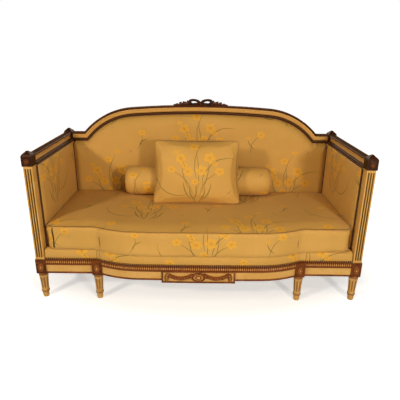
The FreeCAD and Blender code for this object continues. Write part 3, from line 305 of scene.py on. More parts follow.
@material(Specular_IOR_Level=0.15)
def block_gilt(finish, spot):
    """Worn antique gilding for the middle blocks."""
    grain = spot.noise(60.0, 4.0)
    colour = (grain * 0.5).blend(brown_gilt(spot), dark_gilt(spot))
    return finish.coat(colour, grain, 0.5, 0.25, 0.0006)


@material(Specular_IOR_Level=0.25)
def carved_gilt(finish, spot):
    """Gilded carving: painted highlight where the piece's own relief value is high, painted shade where it is
    low.
    """
    relief = finish.attribute("relief")
    high = relief.fade(0.45, 0.95)
    rub = spot.noise(42.0, 5.0, 0.6).fade(0.35, 0.7) * 0.5 + 0.5
    # The dark on low relief is painted shade; the gold on high relief is a painted highlight, in patches like
    # rubbed gilding
    ground = relief.fade(0.05, 0.6).blend(GILT_DARK, tint(138, 72, 24))
    colour = (high * rub).blend(ground, tint(232, 182, 102))
    return finish.coat(colour, spot.noise(90.0, 4.0), 0.36, 0.25, 0.0005, Metallic=high * 0.3)


@material(Specular_IOR_Level=0.4)
def leg_paint(finish, spot):
    """Turned legs: cream arrises, flutes painted brown as shade in the hollows, worn gilding on the collar
    and the ring.
    """
    *_, z = spot.parts()
    high = finish.attribute("relief").fade(0.25, 0.9)
    # Cream in patches on the raised arrises and brown in the flutes, where the brown is painted shade in the
    # hollows
    worn = high * (spot.noise(45.0, 4.0).fade(0.25, 0.6) * 0.5 + 0.5)
    painted = (worn * 0.9).blend(tint(146, 102, 50), aged_cream(spot))
    ring = z.within(*RING_EDGES) + z.fade(*COLLAR_EDGE)
    return finish.coat((ring * 0.75).blend(painted, brown_gilt(spot)), wood_grain(spot, 6.0, 12.0), 0.36)


@material(Specular_IOR_Level=0.4)
def tablet_paint(finish, spot):
    """The tablet: a cream field, shaded at its edge, within a worn gilt frame."""
    x, _, z = spot.parts()
    field = (abs(x) < 0.1965) * (z > 0.1586) * (z < 0.2134)
    edge = abs(x).fade(0.189, 0.196).math("MAXIMUM", abs(z - 0.186).fade(0.022, 0.0275)) * 0.45
    cream = edge.blend(aged_cream(spot), CREAM_SHADE)
    return finish.coat(field.blend(brown_gilt(spot), cream), spot.noise(60.0, 4.0), 0.38)


@material(Specular_IOR_Level=0.2)
def moulded_paint(finish, spot):
    """The arm and crest rails: stripes across the moulding, from a gilt outer bead to a dark inner bead,
    with painted highlights on both beads.
    """
    across = finish.attribute("across")
    stripes = across.node("ShaderNodeValToRGB", {"stops": STRIPES}, {0: across})
    wear = spot.noise(48.0, 5.0, 0.62).fade(0.58, 0.76)
    return finish.coat((wear * 0.55).blend(stripes, CREAM_SHADE), spot.noise(30.0), 0.42, 0.22)


@material()
def beech(finish, spot):
    """Planed beech: long grain bands and short dark flecks."""
    bands = spot.stretch((3.0, 18.0, 18.0)).noise(6.0, 4.0).fade(0.3, 0.7)
    flecks = spot.stretch((40.0, 260.0, 260.0)).noise(4.0, 2.0).fade(0.6, 0.7)
    colour = (flecks * 0.5).blend(bands.blend(tint(196, 150, 104), tint(222, 182, 136)), tint(140, 96, 60))
    return finish.feed(flecks, 0.0003, Base_Color=colour, Roughness=bands * 0.2 + 0.5)


@material(Roughness=0.85)
def webbing_weave(finish, spot):
    """Linen webbing: a plain weave of flat yarns."""
    x, y, _ = spot.parts()
    weave = (x * 2600.0).sine() * (y * 2600.0).sine() * 0.5 + 0.5
    return finish.feed(weave, 0.0003, Base_Color=weave.blend(tint(126, 104, 70), tint(186, 162, 118)))


# One repeat of the woven design, in metres: stems and blades as (x, y, x, y, bend, width), blossoms as
# (x, y, radius, petals, turn, squash) and short slanted strokes as (x, y, radius)

REPEAT_WIDE = 0.60
REPEAT_TALL = 0.58
STEMS = (
    (0.29, 0.08, 0.21, 0.29, 0.10, 0.0030), (0.30, 0.08, 0.29, 0.37, -0.06, 0.0030),
    (0.31, 0.08, 0.37, 0.30, -0.10, 0.0030), (0.28, 0.09, 0.15, 0.23, -0.12, 0.0028),
    (0.32, 0.09, 0.43, 0.22, 0.14, 0.0028), (0.27, 0.10, 0.04, 0.24, 0.30, 0.0036),
    (0.34, 0.11, 0.55, 0.30, 0.30, 0.0036), (0.31, 0.15, 0.35, 0.43, 0.14, 0.0028),
    (0.27, 0.05, 0.22, 0.17, 0.10, 0.0050), (0.33, 0.04, 0.39, 0.16, -0.10, 0.0050),
    (0.30, 0.03, 0.26, 0.14, 0.12, 0.0048), (0.31, 0.03, 0.35, 0.14, -0.12, 0.0048),
    (0.28, 0.03, 0.295, 0.16, -0.08, 0.0044), (0.05, 0.42, 0.11, 0.55, 0.16, 0.0028),
    (0.48, 0.45, 0.52, 0.56, -0.14, 0.0028), (0.08, 0.46, 0.03, 0.53, 0.12, 0.0040),
    (0.50, 0.48, 0.56, 0.53, 0.12, 0.0040), (0.24, 0.20, 0.18, 0.33, -0.10, 0.0030))
BLOSSOMS = (
    (0.205, 0.305, 0.036, 5, 0.2, 0.9), (0.285, 0.382, 0.033, 5, 0.9, 0.75),
    (0.378, 0.31, 0.038, 5, 1.4, 0.95), (0.145, 0.240, 0.029, 5, 2.2, 0.8),
    (0.440, 0.228, 0.032, 5, 0.5, 0.85), (0.250, 0.225, 0.034, 6, 1.1, 0.9),
    (0.330, 0.232, 0.036, 5, 1.9, 1.0), (0.290, 0.165, 0.026, 5, 0.1, 0.8),
    (0.352, 0.438, 0.022, 4, 0.6, 0.7), (0.175, 0.345, 0.018, 4, 1.3, 0.7),
    (0.410, 0.275, 0.020, 4, 2.9, 0.8), (0.225, 0.262, 0.021, 5, 2.4, 0.9),
    (0.115, 0.558, 0.028, 5, 2.6, 0.85), (0.522, 0.566, 0.025, 5, 0.7, 0.8),
    (0.035, 0.535, 0.013, 4, 0.0, 0.8))
STROKES = ((0.50, 0.10, 0.010), (0.06, 0.12, 0.008), (0.44, 0.44, 0.009))
SILK_YARNS = 3900.0
BEAD_PITCH = 0.0105


def stem_arc(x0, y0, x1, y1, bend):
    """The arc that bulges from a chord by a share of its length: centre, radius, middle, half angle."""
    chord = math.hypot(x1 - x0, y1 - y0)
    rise = abs(bend) * chord
    radius = (chord ** 2 / 4 + rise ** 2) / (2 * rise)
    side = math.copysign(1.0, bend)
    across = (-(y1 - y0) / chord * side, (x1 - x0) / chord * side)
    back = radius - rise
    centre = ((x0 + x1) / 2 - across[0] * back, (y0 + y1) / 2 - across[1] * back)
    return *centre, radius, math.atan2(across[1], across[0]), math.asin(min(chord / 2 / radius, 1.0))


@material("UV", Sheen_Weight=0.06, Sheen_Roughness=0.4, Specular_IOR_Level=0.25)
def blossom_silk(finish, cloth):
    """Honey-gold silk with a woven sprig: stems are arcs, blossoms are petals about a centre."""
    u, v, _ = cloth.parts()
    wander = cloth.noise(14.0, 2.0) * 0.012 - 0.006
    drop = ((u / REPEAT_WIDE).math("FLOOR") * 0.5).fraction() * REPEAT_TALL
    x = (u / REPEAT_WIDE).fraction() * REPEAT_WIDE + wander
    y = ((v + drop) / REPEAT_TALL).fraction() * REPEAT_TALL - wander

    def step(amount, centre, repeat):
        """The step along one way from the nearest copy of a centre."""
        return ((amount - centre) / repeat + 0.5).fraction() * repeat - repeat / 2

    stems, petals, eyes, strokes = [], [], [], []
    for *points, width in STEMS:
        cx, cy, radius, middle, half = stem_arc(*points)
        dx, dy = x - cx, y - cy
        angle = dy.math("ARCTAN2", dx)
        swing = abs(((angle - middle) / math.tau + 0.5).fraction() - 0.5) * math.tau
        taper = (1 - swing * swing / half ** 2) * width
        stems.append(1 - (abs(distance(dx, dy) - radius) / taper.math("MAXIMUM", 0.00005)).fade(0.35, 1.0))
    for cx, cy, radius, count, turn, squash in BLOSSOMS:
        dx, dy = step(x, cx, REPEAT_WIDE), step(y, cy, REPEAT_TALL) / squash
        out, angle = distance(dx, dy), dy.math("ARCTAN2", dx)
        lobe = abs(((angle + turn) * (count / 2)).math("COSINE")).math("POWER", 0.7) * 0.42 + 0.58
        share = out / (lobe * radius)
        petals.append((1 - share.fade(0.88, 1.0)) * (0.45 + share * 0.55))
        eyes.append(1 - (out / radius).fade(0.12, 0.34))
    for cx, cy, radius in STROKES:
        dx, dy = step(x, cx, REPEAT_WIDE), step(y, cy, REPEAT_TALL)
        strokes.append(1 - (distance((dx + dy) * 0.35, (dx - dy) * 1.4) / radius).fade(0.5, 1.0))
    stems, petals, eyes, strokes = map(highest, (stems, petals, eyes, strokes))

    slub = cloth.stretch((14.0, 240.0, 1.0)).noise(4.0).fade(0.3, 0.75)
    cloud = cloth.noise(3.5).fade(0.3, 0.7)
    colour = (slub * 0.45).blend(cloud.blend(tint(209, 164, 84), tint(218, 173, 94)), tint(195, 150, 71))
    for mask, share, over in ((stems, 0.8, tint(104, 102, 44)), (petals, 0.85, tint(236, 178, 46)),
                              (eyes, 0.55, tint(208, 138, 36)), (strokes, 0.5, tint(160, 92, 76))):
        colour = (mask * share).blend(colour, over)
    weave = (u * SILK_YARNS).sine() * (v * SILK_YARNS).sine()
    height = weave * 0.3 + slub * 0.5 + petals * 0.7 + stems * 0.4
    return finish.feed(height, 0.00035, Base_Color=colour, Roughness=0.62 - petals * 0.14 - slub * 0.08)


@material("UV", Sheen_Weight=0.25, Sheen_Roughness=0.4)
def plain_silk(finish, cloth):
    """The same silk without its sprig, for piping, with the twist of the cord beneath."""
    u, v, _ = cloth.parts()
    twist = (u * 1700.0 + v * 600.0).sine() * 0.5 + 0.5
    return finish.coat(twist.blend(tint(176, 130, 62), tint(192, 146, 74)), twist, 0.7, -0.12)


@material("UV", Roughness=0.75)
def gimp_braid(finish, cloth):
    """Dark woven gimp: two crossing threads."""
    u, v, _ = cloth.parts()
    plait = (u * 1400.0 + v * 900.0).sine() * (u * 1400.0 - v * 900.0).sine() * 0.5 + 0.5
    return finish.feed(plait, Base_Color=plait.blend(tint(48, 24, 8), tint(96, 56, 20)))


@material("UV", Roughness=0.7)
def bead_braid(finish, cloth):
    """The trim along the deck's lower edge: dark beads on a gold cord."""
    u, *_ = cloth.parts()
    bead = abs((u * (math.pi / BEAD_PITCH)).sine()).fade(0.35, 0.75)
    return finish.feed(bead, 0.0006, Base_Color=bead.blend(tint(190, 134, 60), tint(46, 21, 7)))


@material(Specular_IOR_Level=0.1, Emission_Strength=1.0)
def studio_floor(finish, spot):
    """A pale mottled floor that glows white away from the sofa and keeps its shadow near it."""
    x, y, _ = spot.parts()
    away = (x * x * 0.55 + y * y * 2.0).math("SQRT").fade(0.60, 1.05)
    mottle = spot.noise(2.0)
    seen = finish.start.node("ShaderNodeLightPath", {}, {}, out="Is Camera Ray")
    glow = (seen * (away * 0.5 + 0.5)).blend((0.0, 0.0, 0.0, 1.0), (1.0, 1.0, 1.0, 1.0))
    colour = mottle.blend(tint(232, 242, 255), tint(240, 247, 255))
    return finish.feed(Base_Color=colour, Roughness=mottle * 0.1 + 0.85, Emission_Color=glow)


# Meshes from grids

def spread(first, last, count):
    """Evenly spaced numbers."""
    return np.linspace(first, last, count)


def row(first, last, count):
    """Evenly spaced numbers as one row."""
    return spread(first, last, count)[None, :]


def column(first, last, count):
    """Evenly spaced numbers as one column."""
    return spread(first, last, count)[:, None]


def grid_of(*parts):
    """Points from their coordinates, or a map from its two lengths, all brought to one shape."""
    return np.stack(np.broadcast_arrays(*parts), axis=-1)


def run_along(path):
    """The length along a path up to each of its points."""
    return np.concatenate(([0], np.cumsum(np.linalg.norm(np.diff(path, axis=0), axis=1))))


def unit(ways):
    """Directions of length 1."""
    return ways / np.linalg.norm(ways, axis=-1, keepdims=True)


CLOTH = {"quality": 6, "mass": 0.25, "tension_stiffness": 18, "compression_stiffness": 18,
         "shear_stiffness": 6, "bending_stiffness": 0.4, "use_pressure": True}
CLOTH_FRAMES = 20


def swell_cloth(piece, pressure, cap, limits=None):
    """Blow a closed cover up as cloth with no gravity for some frames.

    Each point's move stays under a cap and is scaled by its relief value if the piece has any.  The cover
    stays within its lowest and highest corners if they are given.
    """
    scene = bpy.context.scene
    mesh = piece.data

    def places(data):
        found = np.empty(len(data.vertices) * 3)
        data.vertices.foreach_get("co", found)
        return found.reshape(-1, 3)

    start = places(mesh)
    cloth = piece.modifiers.new("swell", "CLOTH")
    for name, amount in CLOTH.items():
        setattr(cloth.settings, name, amount)
    cloth.settings.uniform_pressure_force = pressure
    cloth.settings.effector_weights.gravity = 0
    cloth.point_cache.frame_start, cloth.point_cache.frame_end = 1, CLOTH_FRAMES
    for step in range(1, CLOTH_FRAMES + 1):
        scene.frame_set(step)
    move = places(piece.evaluated_get(bpy.context.evaluated_depsgraph_get()).data) - start
    loose = np.empty(len(start))
    mesh.attributes["relief"].data.foreach_get("value", loose)
    if loose.any():
        move *= loose[:, None]
    length = np.linalg.norm(move, axis=1, keepdims=True)
    ended = start + move * np.minimum(1, cap / np.maximum(length, 1e-9))
    if limits:
        ended = np.clip(ended, *limits)
    piece.modifiers.remove(cloth)
    mesh.vertices.foreach_set("co", ended.astype(np.float32).ravel())
    mesh.update()
    scene.frame_set(1)


def surface(name, sheets, finish, body="frame", stands_for=(), merge=1e-5, puff=None,
            dim=1.0):
    """One piece from grids of points.

    Each sheet is (points, map, relief): an array of rows by columns by 3, its cloth map in metres or None,
    and a value for each point or None, lowered by dim.  Neighbours join into four-sided faces, like points
    are merged and the faces are turned outwards.
    """
    points, faces, maps, values = [], [], [], []
    count = 0
    for sheet in sheets:
        grid, cloth, relief = (*sheet, None, None)[:3]
        rows, columns = grid.shape[:2]
        index = np.arange(rows * columns).reshape(rows, columns) + count
        quads = grid_of(index[:-1, :-1], index[:-1, 1:], index[1:, 1:], index[1:, :-1])
        points.append(grid.reshape(-1, 3))
        faces.append(quads.reshape(-1, 4))
        maps.append(np.zeros((rows * columns, 2)) if cloth is None else np.asarray(cloth).reshape(-1, 2))
        values.append(np.broadcast_to(0.0 if relief is None else relief, (rows, columns)).ravel())
        count += rows * columns
    points, faces, maps, values = map(np.concatenate, (points, faces, maps, values))
    mesh = bpy.data.meshes.new(name)
    mesh.from_pydata(points.tolist(), [], faces.tolist())
    mesh.uv_layers.new(name="cloth").data.foreach_set("uv", maps[faces.ravel()].astype(np.float32).ravel())
    kept = mesh.attributes.new("relief", "FLOAT", "POINT")
    kept.data.foreach_set("value", (values * dim).astype(np.float32))
    shell = bmesh.new()
    shell.from_mesh(mesh)
    bmesh.ops.remove_doubles(shell, verts=shell.verts, dist=merge)
    bmesh.ops.dissolve_degenerate(shell, dist=merge, edges=shell.edges)
    bmesh.ops.recalc_face_normals(shell, faces=shell.faces)
    shell.to_mesh(mesh)
    shell.free()
    mesh.shade_smooth()
    piece = bpy.data.objects.new(name, mesh)
    bpy.context.scene.collection.objects.link(piece)
    mesh.materials.append(FINISHES[finish])
    if puff:
        swell_cloth(piece, *puff)
    if stands_for:
        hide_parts(*stands_for)
    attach(piece, body)
    return piece


def tube(path, radius, normal=ALONG_Z, sides=8, closed=False, deep=1.0):
    """A cord along a path, of rings that are wider along the normal if deep, with closed ends."""
    path = np.asarray(path, float)
    if closed:
        way = unit(np.roll(path, -1, axis=0) - np.roll(path, 1, axis=0))
    else:
        way = unit(np.gradient(path, axis=0))
    aside = unit(np.cross(way, normal))
    up = np.cross(aside, way)
    turn = spread(0, math.tau, sides + 1)
    ring = np.cos(turn)[None, :, None] * aside[:, None] + np.sin(turn)[None, :, None] * up[:, None] * deep
    radii = np.broadcast_to(radius, len(path)).astype(float)
    length = run_along(path)
    grid = path[:, None] + ring * radii[:, None, None]
    if closed:
        length = np.append(length, length[-1] + np.linalg.norm(path[0] - path[-1]))
        grid = np.concatenate((grid, grid[:1]))
    else:
        length = np.concatenate((length[:1], length, length[-1:]))
        first, last = (np.broadcast_to(end, grid[:1].shape) for end in (path[0], path[-1]))
        grid = np.concatenate((first, grid, last))
    return grid, grid_of(length[:, None], turn[None, :] * 0.005)


def cover(name, sheets, node, body="frame", puff=None):
    """A stuffed piece in the patterned silk, in place of a solid."""
    surface(name, sheets, "blossom_silk", body, (node,), puff=puff)


def trim(name, path, radius, normal=ALONG_Z, finish="plain_silk", body="frame", **shape):
    """A sewn cord along a path."""
    surface(name, [tube(path, radius, normal, **shape)], finish, body)


def carving(name, sheets, node, dim=1.0):
    """A gilded carving in place of a solid, whose close points stay apart."""
    surface(name, sheets, "carved_gilt", stands_for=(node,), merge=2e-6, dim=dim)


# The bowed front in plan

def two_arcs(run, rise, first, last):
    """Radii of two arcs in one smooth line of the given run and rise between its end slopes."""
    run_parts = (math.sin(first), math.sin(last) - math.sin(first))
    rise_parts = (1 - math.cos(first), math.cos(first) - math.cos(last))
    whole = run_parts[0] * rise_parts[1] - run_parts[1] * rise_parts[0]
    return ((run * rise_parts[1] - rise * run_parts[1]) / whole,
            (rise * run_parts[0] - run * rise_parts[0]) / whole)


BOW_START = 0.586
BOW_EASE = 0.060
BOW_REACH = 0.066
BOW_TURNS = (math.radians(1.2), math.radians(27))
BOW_RADII = two_arcs(BOW_START - BOW_EASE * math.sin(BOW_TURNS[1]),
                     BOW_REACH - BOW_EASE * (1 - math.cos(BOW_TURNS[1])), *BOW_TURNS)


def bow_y(x, offset):
    """The Y of the seat's front, moved forward: a crown arc, an end arc, an ease arc, then straight."""
    x = abs(np.asarray(x, float))
    crown_y = RAIL_FACE - BOW_REACH + BOW_RADII[0]
    step = BOW_RADII[0] - BOW_RADII[1]
    end_x, end_y = math.sin(BOW_TURNS[0]) * step, crown_y - math.cos(BOW_TURNS[0]) * step
    crown_r, end_r, ease_r = BOW_RADII[0] + offset, BOW_RADII[1] + offset, BOW_EASE - offset
    crown_stop = crown_r * math.sin(BOW_TURNS[0])
    end_stop = end_x + end_r * math.sin(BOW_TURNS[1])

    def root(amount):
        return np.sqrt(np.maximum(amount, 0))

    crown = crown_y - root(crown_r ** 2 - x ** 2)
    end = end_y - root(end_r ** 2 - (x - end_x) ** 2)
    ease = RAIL_FACE - BOW_EASE + root(ease_r ** 2 - (x - BOW_START) ** 2)
    flat = np.full_like(x, RAIL_FACE - offset)
    return np.select([x < crown_stop, x < end_stop, x < BOW_START], [crown, end, ease], flat)


def seat_plan(offset, half, rear, corner):
    """The closed outline of the seat, moved outward: bowed front, rounded corners, straight sides."""
    half, rear = half + offset, rear + offset
    near_y = RAIL_FACE - offset
    turn = spread(0, math.pi / 2, 9)
    x = spread(corner - half, half - corner, 181)
    front = grid_of(x, bow_y(x, offset))
    near = grid_of(half - corner + corner * np.sin(turn), near_y + corner - corner * np.cos(turn))
    side = grid_of(half, spread(near_y + corner, rear - corner, 25))
    far = grid_of(half - corner + corner * np.cos(turn), rear - corner + corner * np.sin(turn))
    back = grid_of(spread(half - corner, corner - half, 61), rear)
    mirror = np.array((-1.0, 1.0))
    return np.concatenate((front, near[1:], side[1:], far[1:], back[1:], far[::-1][1:] * mirror,
                           side[::-1][1:] * mirror, near[::-1][1:-1] * mirror, front[:1]))


def ring_at(plan, z):
    """A plan lifted to a height."""
    return grid_of(plan[..., 0], plan[..., 1], z)


# The arched back

ARCH_TURNS = (math.radians(4.8), math.radians(46))
ARCH_SPRING = 0.028
ARCH_RISE = 0.186
ARCH_STEP = POST_INNER - 0.079
ARCH_RADII = two_arcs(ARCH_STEP - ARCH_SPRING * math.cos(ARCH_TURNS[1]),
                      ARCH_RISE - ARCH_SPRING * math.sin(ARCH_TURNS[1]), *ARCH_TURNS)


def arch_line(inset):
    """The line of the back's top, moved inward: shoulder, step, haunch, crown and mirrored.

    Every inset gives as many points, so that lines of several insets join across the mitres.
    """
    def ray(turn):
        return grid_of(np.sin(turn), np.cos(turn))

    crown_z = ARM_TOP + ARCH_RISE - ARCH_RADII[0]
    step = ARCH_RADII[0] - ARCH_RADII[1]
    haunch = np.array((math.sin(ARCH_TURNS[0]), math.cos(ARCH_TURNS[0]))) * step + (0, crown_z)
    spring = haunch + ray(np.array(ARCH_TURNS[1])) * (ARCH_RADII[1] - inset)
    way = np.array((math.cos(ARCH_TURNS[1]), -math.sin(ARCH_TURNS[1])))
    corner = spring + way * (ARCH_SPRING + inset * math.tan(ARCH_TURNS[1] / 2))
    share = column(0, 1, 9)
    end = np.array((POST_INNER, ARM_TOP - inset))
    side = haunch + ray(spread(ARCH_TURNS[1], ARCH_TURNS[0], 49)) * (ARCH_RADII[1] - inset)
    top = ray(spread(ARCH_TURNS[0], 0, 17)) * (ARCH_RADII[0] - inset) + (0, crown_z)
    shoulder, slope = end + (corner - end) * share, corner + (spring - corner) * share
    half = np.concatenate((shoulder, slope[1:], side[1:], top[1:]))
    return np.concatenate((half, half[::-1][1:] * (-1, 1)))


def arch_height(x, inset):
    """The height of the back's top at each x, moved inward."""
    line = arch_line(inset)[::-1]
    return np.interp(x, line[:, 0], line[:, 1])


# Moulded rails

def moulding_profile():
    """The section of the arm and crest rails as (inward, deep), and the place of its points in the stripes.

    It runs over the top, the outer bead, the reeded cavetto, the inner bead and the underside.  In the
    stripes the back is at 0, the top goes up to 0.40 and the face up to 0.87.
    """
    half = spread(math.pi, 0, 9)
    outer, inner = (grid_of(middle + 0.006 * np.cos(half), 0.007 - 0.006 * np.sin(half))
                    for middle in (0.006, 0.050))
    share = spread(0, 1, 33)
    reeds = 0.010 + 0.0055 * np.sin(np.pi * share) - 0.0011 * abs(np.sin(4 * np.pi * share))
    hollow = grid_of(0.014 + 0.028 * share, reeds)
    top = grid_of(0.0, spread(0.044, 0.009, 7))
    under = grid_of(RAIL_WIDTH, spread(0.010, 0.044, 5))
    face = np.concatenate((outer, hollow, inner))
    face_stripes = 0.42 + 0.45 * face[:, 0] / RAIL_WIDTH
    stripes = np.concatenate((spread(0, 0.4, 7), face_stripes, (0.9, 0, 0, 0, 0, 0)))
    return np.concatenate((top, face, under, top[:1])), stripes


def moulded_rails():
    """The profile along the arch, each point on the line of its own inset, and along each arm."""
    profile, stripes = moulding_profile()
    lines = np.stack([arch_line(inset) for inset in profile[:, 0]], axis=1)
    grids = {"crest": grid_of(lines[..., 0], CREST_FRONT + profile[:, 1], lines[..., 1])}
    y = column(FRONT + RAIL_WIDTH, BACK - RAIL_WIDTH, 41)
    for name, side in SIDES:
        x = side * (POST_INNER + 0.003 + profile[:, 1])
        grids[f"arm_{name}"] = grid_of(x, y, ARM_TOP - profile[:, 0])
    for name, grid in grids.items():
        part, *which = name.split("_")
        piece = surface("_".join((part, "moulding", *which)), [(grid, None, stripes)], "moulded_paint",
                        stands_for=("_".join((part, "rail", *which)),))
        piece.data.attributes["relief"].name = "across"


# Upholstery

PAD_LOW = 0.316
BACK_HALF = 0.8524
ARM_PAD_TOP = 0.7896
ARM_PAD_FRONT = -0.2882
PANEL_LOW = 0.2522
PANEL_TOP = 0.7898
PANEL_FRONT = -0.2883
PANEL_REAR = 0.3643
PANEL_HALF = 0.8728
CUSHION_HALF = 0.851
CUSHION_REAR = 0.310
CUSHION_CORNER = 0.040
PIPING = 0.0042


def swell(edge, roll):
    """How far a stuffed edge has risen, 0 at the edge to 1 at the roll's width, as a quarter round."""
    share = np.clip(edge / roll, 0, 1)
    return np.sqrt(np.maximum(1 - (1 - share) ** 2, 0)) ** 0.85


def perimeter(grid):
    """The points round a grid, from its first row."""
    return np.concatenate((grid[0, :], grid[1:, -1], grid[-1, ::-1][1:], grid[::-1, 0][1:]))


def pad(name, node, front, back, cloth):
    """A closed pad in place of a solid, from the coordinates of its front, flat back and map."""
    front, back, cloth = (grid_of(*parts) for parts in (front, back, cloth))
    rim = np.stack((perimeter(front), perimeter(back)))
    rim_cloth = np.stack((perimeter(cloth),) * 2)
    cover(name, [(front, cloth), (back, cloth), (rim, rim_cloth)], node)


def inside_pads():
    """The inside back, rolled at its top and sides, and the arms, rolled at the top and the front."""
    x = row(-BACK_HALF, BACK_HALF, 221)
    share = column(0, 1, 91)
    high = arch_height(x, RAIL_WIDTH + 0.0003)
    z = PAD_LOW + (high - PAD_LOW) * share
    rise = swell(np.minimum(high - z, (BACK_HALF - abs(x)) * 1.6 + 0.012), 0.085)
    broad = 0.0025 * np.cos(np.pi * x / 1.75) * np.sin(np.pi * share)
    y = 0.3695 - (0.0545 * rise + broad * rise)
    pad("inside_back", "back_pad", (x, y, z), (x, 0.378, z), (x + 0.31, z))
    y = row(ARM_PAD_FRONT, 0.3637, 101)
    z = column(PAD_LOW, ARM_PAD_TOP, 81)
    rise = swell(np.minimum(ARM_PAD_TOP - z, y - ARM_PAD_FRONT), 0.06)
    for name, side in SIDES:
        x = side * (0.8682 - 0.015 * rise - 0.0003 * rise * np.sin(np.pi * (z - PAD_LOW) / 0.47))
        pad(f"inside_arm_{name}", f"arm_pad_{name}", (x, y, z), (side * 0.888, y, z),
            (y * side + 0.2, z + 0.1))


def outside_panels():
    """The outside covers: thin slabs with a slight fullness between their edges."""
    y = row(PANEL_FRONT, PANEL_REAR, 41)
    z = column(PANEL_LOW, PANEL_TOP, 41)
    edge = np.minimum(np.minimum(PANEL_TOP - z, z - PANEL_LOW), np.minimum(y - PANEL_FRONT, PANEL_REAR - y))
    full = 0.0028 * swell(edge, 0.09)
    for name, side in SIDES:
        pad(f"outside_arm_{name}", f"outside_arm_panel_{name}", (side * (0.9085 + full), y, z),
            (side * 0.906, y, z), (y * side, z))
    x = row(-PANEL_HALF, PANEL_HALF, 181)
    high = arch_height(x, RAIL_WIDTH + 0.0002)
    z = PANEL_LOW + (high - PANEL_LOW) * column(0, 1, 61)
    edge = np.minimum(np.minimum(high - z, z - PANEL_LOW), PANEL_HALF - abs(x))
    y = 0.400 + 0.0028 * swell(edge, 0.09)
    pad("outside_back", "outside_back_panel", (x, y, z), (x, 0.3976, z), (-x, z))


def plan_sheets(levels, half, rear, corner, spine_y):
    """The sheets of a closed cushion from (height, offset) levels of its plan: sides, top, bottom.

    The top and the bottom run from the last and the first outline in to a spine along X.
    """
    def cap(z, offset):
        outline = seat_plan(offset, half, rear, corner)
        spine = grid_of(np.clip(outline[:, 0], -half * 0.62, half * 0.62), spine_y)
        flat = outline[None] + (spine - outline)[None] * column(0, 1, 15)[..., None]
        return ring_at(flat, z), flat

    sides = np.stack([ring_at(seat_plan(offset, half, rear, corner), z) for z, offset in levels])
    run = run_along(sides[0, :, :2])
    side_cloth = grid_of(run[None, :], np.array([z for z, offset in levels])[:, None])
    return sides, side_cloth, cap(*levels[-1]), cap(*levels[0])


def seat_deck():
    """The stuffed platform: its border swells over the front rail and rounds into a flat top."""
    levels = ((0.2553, -0.002), (0.262, -0.001), (0.285, -0.0006), (0.303, -0.0015), (0.310, -0.004),
              (0.3128, -0.009))
    sides, side_cloth, top, bottom = plan_sheets(levels, 0.8687, 0.3602, 0.004, 0.0)
    cover("deck_cover", [(sides, side_cloth), top, bottom], "seat_deck")


def seat_cushion():
    """The seat cushion: boxing drawn in and puckered between two seams, and a broad crown above."""
    seam_tall = SEAM_HIGH - SEAM_LOW
    share = spread(0, 1, 13)
    off = abs(2 * share - 1)
    out = 0.006 - 0.005 * (1 - off) ** 0.7 - 0.008 * off ** 10
    levels = list(zip(SEAM_LOW + 0.0002 + seam_tall * share, out))
    sides, side_cloth, (grid, flat), bottom = plan_sheets(levels, CUSHION_HALF - 0.005, CUSHION_REAR - 0.005,
                                                          CUSHION_CORNER, -0.02)
    run = side_cloth[..., 0]
    tall = (sides[..., 2] - SEAM_LOW) / seam_tall
    pucker = 0.0012 * np.sin(run * 95 + 1.3 * np.sin(run * 23)) * abs(2 * tall - 1) ** 1.5
    pucker += 0.0022 * np.sin(run * 31 + 4 * tall + 2 * np.sin(run * 7)) * np.sin(np.pi * tall)
    sides[..., 1] += pucker * np.sign(sides[..., 1] + 0.02)
    share = column(0, 1, 15)
    rise = 0.0205 * (1 - (1 - np.clip(share / 0.38, 0, 1)) ** 2) + 0.0012 * np.sin(np.pi * share)
    x, y = grid[..., 0], grid[..., 1]
    dent = 0.0016 * np.sin(6.1 * x + 2.0) * np.sin(8.3 * y + 0.6) + 0.0009 * np.sin(17 * x - 9 * y)
    crown = SEAM_HIGH + rise + dent * np.clip(share * 4, 0, 1) * share
    grid[..., 2] = np.minimum(crown, SEAT_TOP)
    room = ((-0.8515, -1.0, SEAM_LOW + 0.0002), (0.8515, 0.3108, SEAT_TOP))
    cover("cushion_cover", [(sides, side_cloth + (0.05, 0.13)), (grid, flat), bottom], "seat_cushion",
          "cushion", (3.0, 0.006, room))
    plan = seat_plan(-0.0015, CUSHION_HALF - 0.003, CUSHION_REAR - 0.003, CUSHION_CORNER)[:-1]
    for name, z in (("low", SEAM_LOW + 0.0055), ("high", SEAM_HIGH)):
        trim(f"cushion_piping_{name}", ring_at(plan, z), PIPING, body="cushion", sides=10, closed=True)


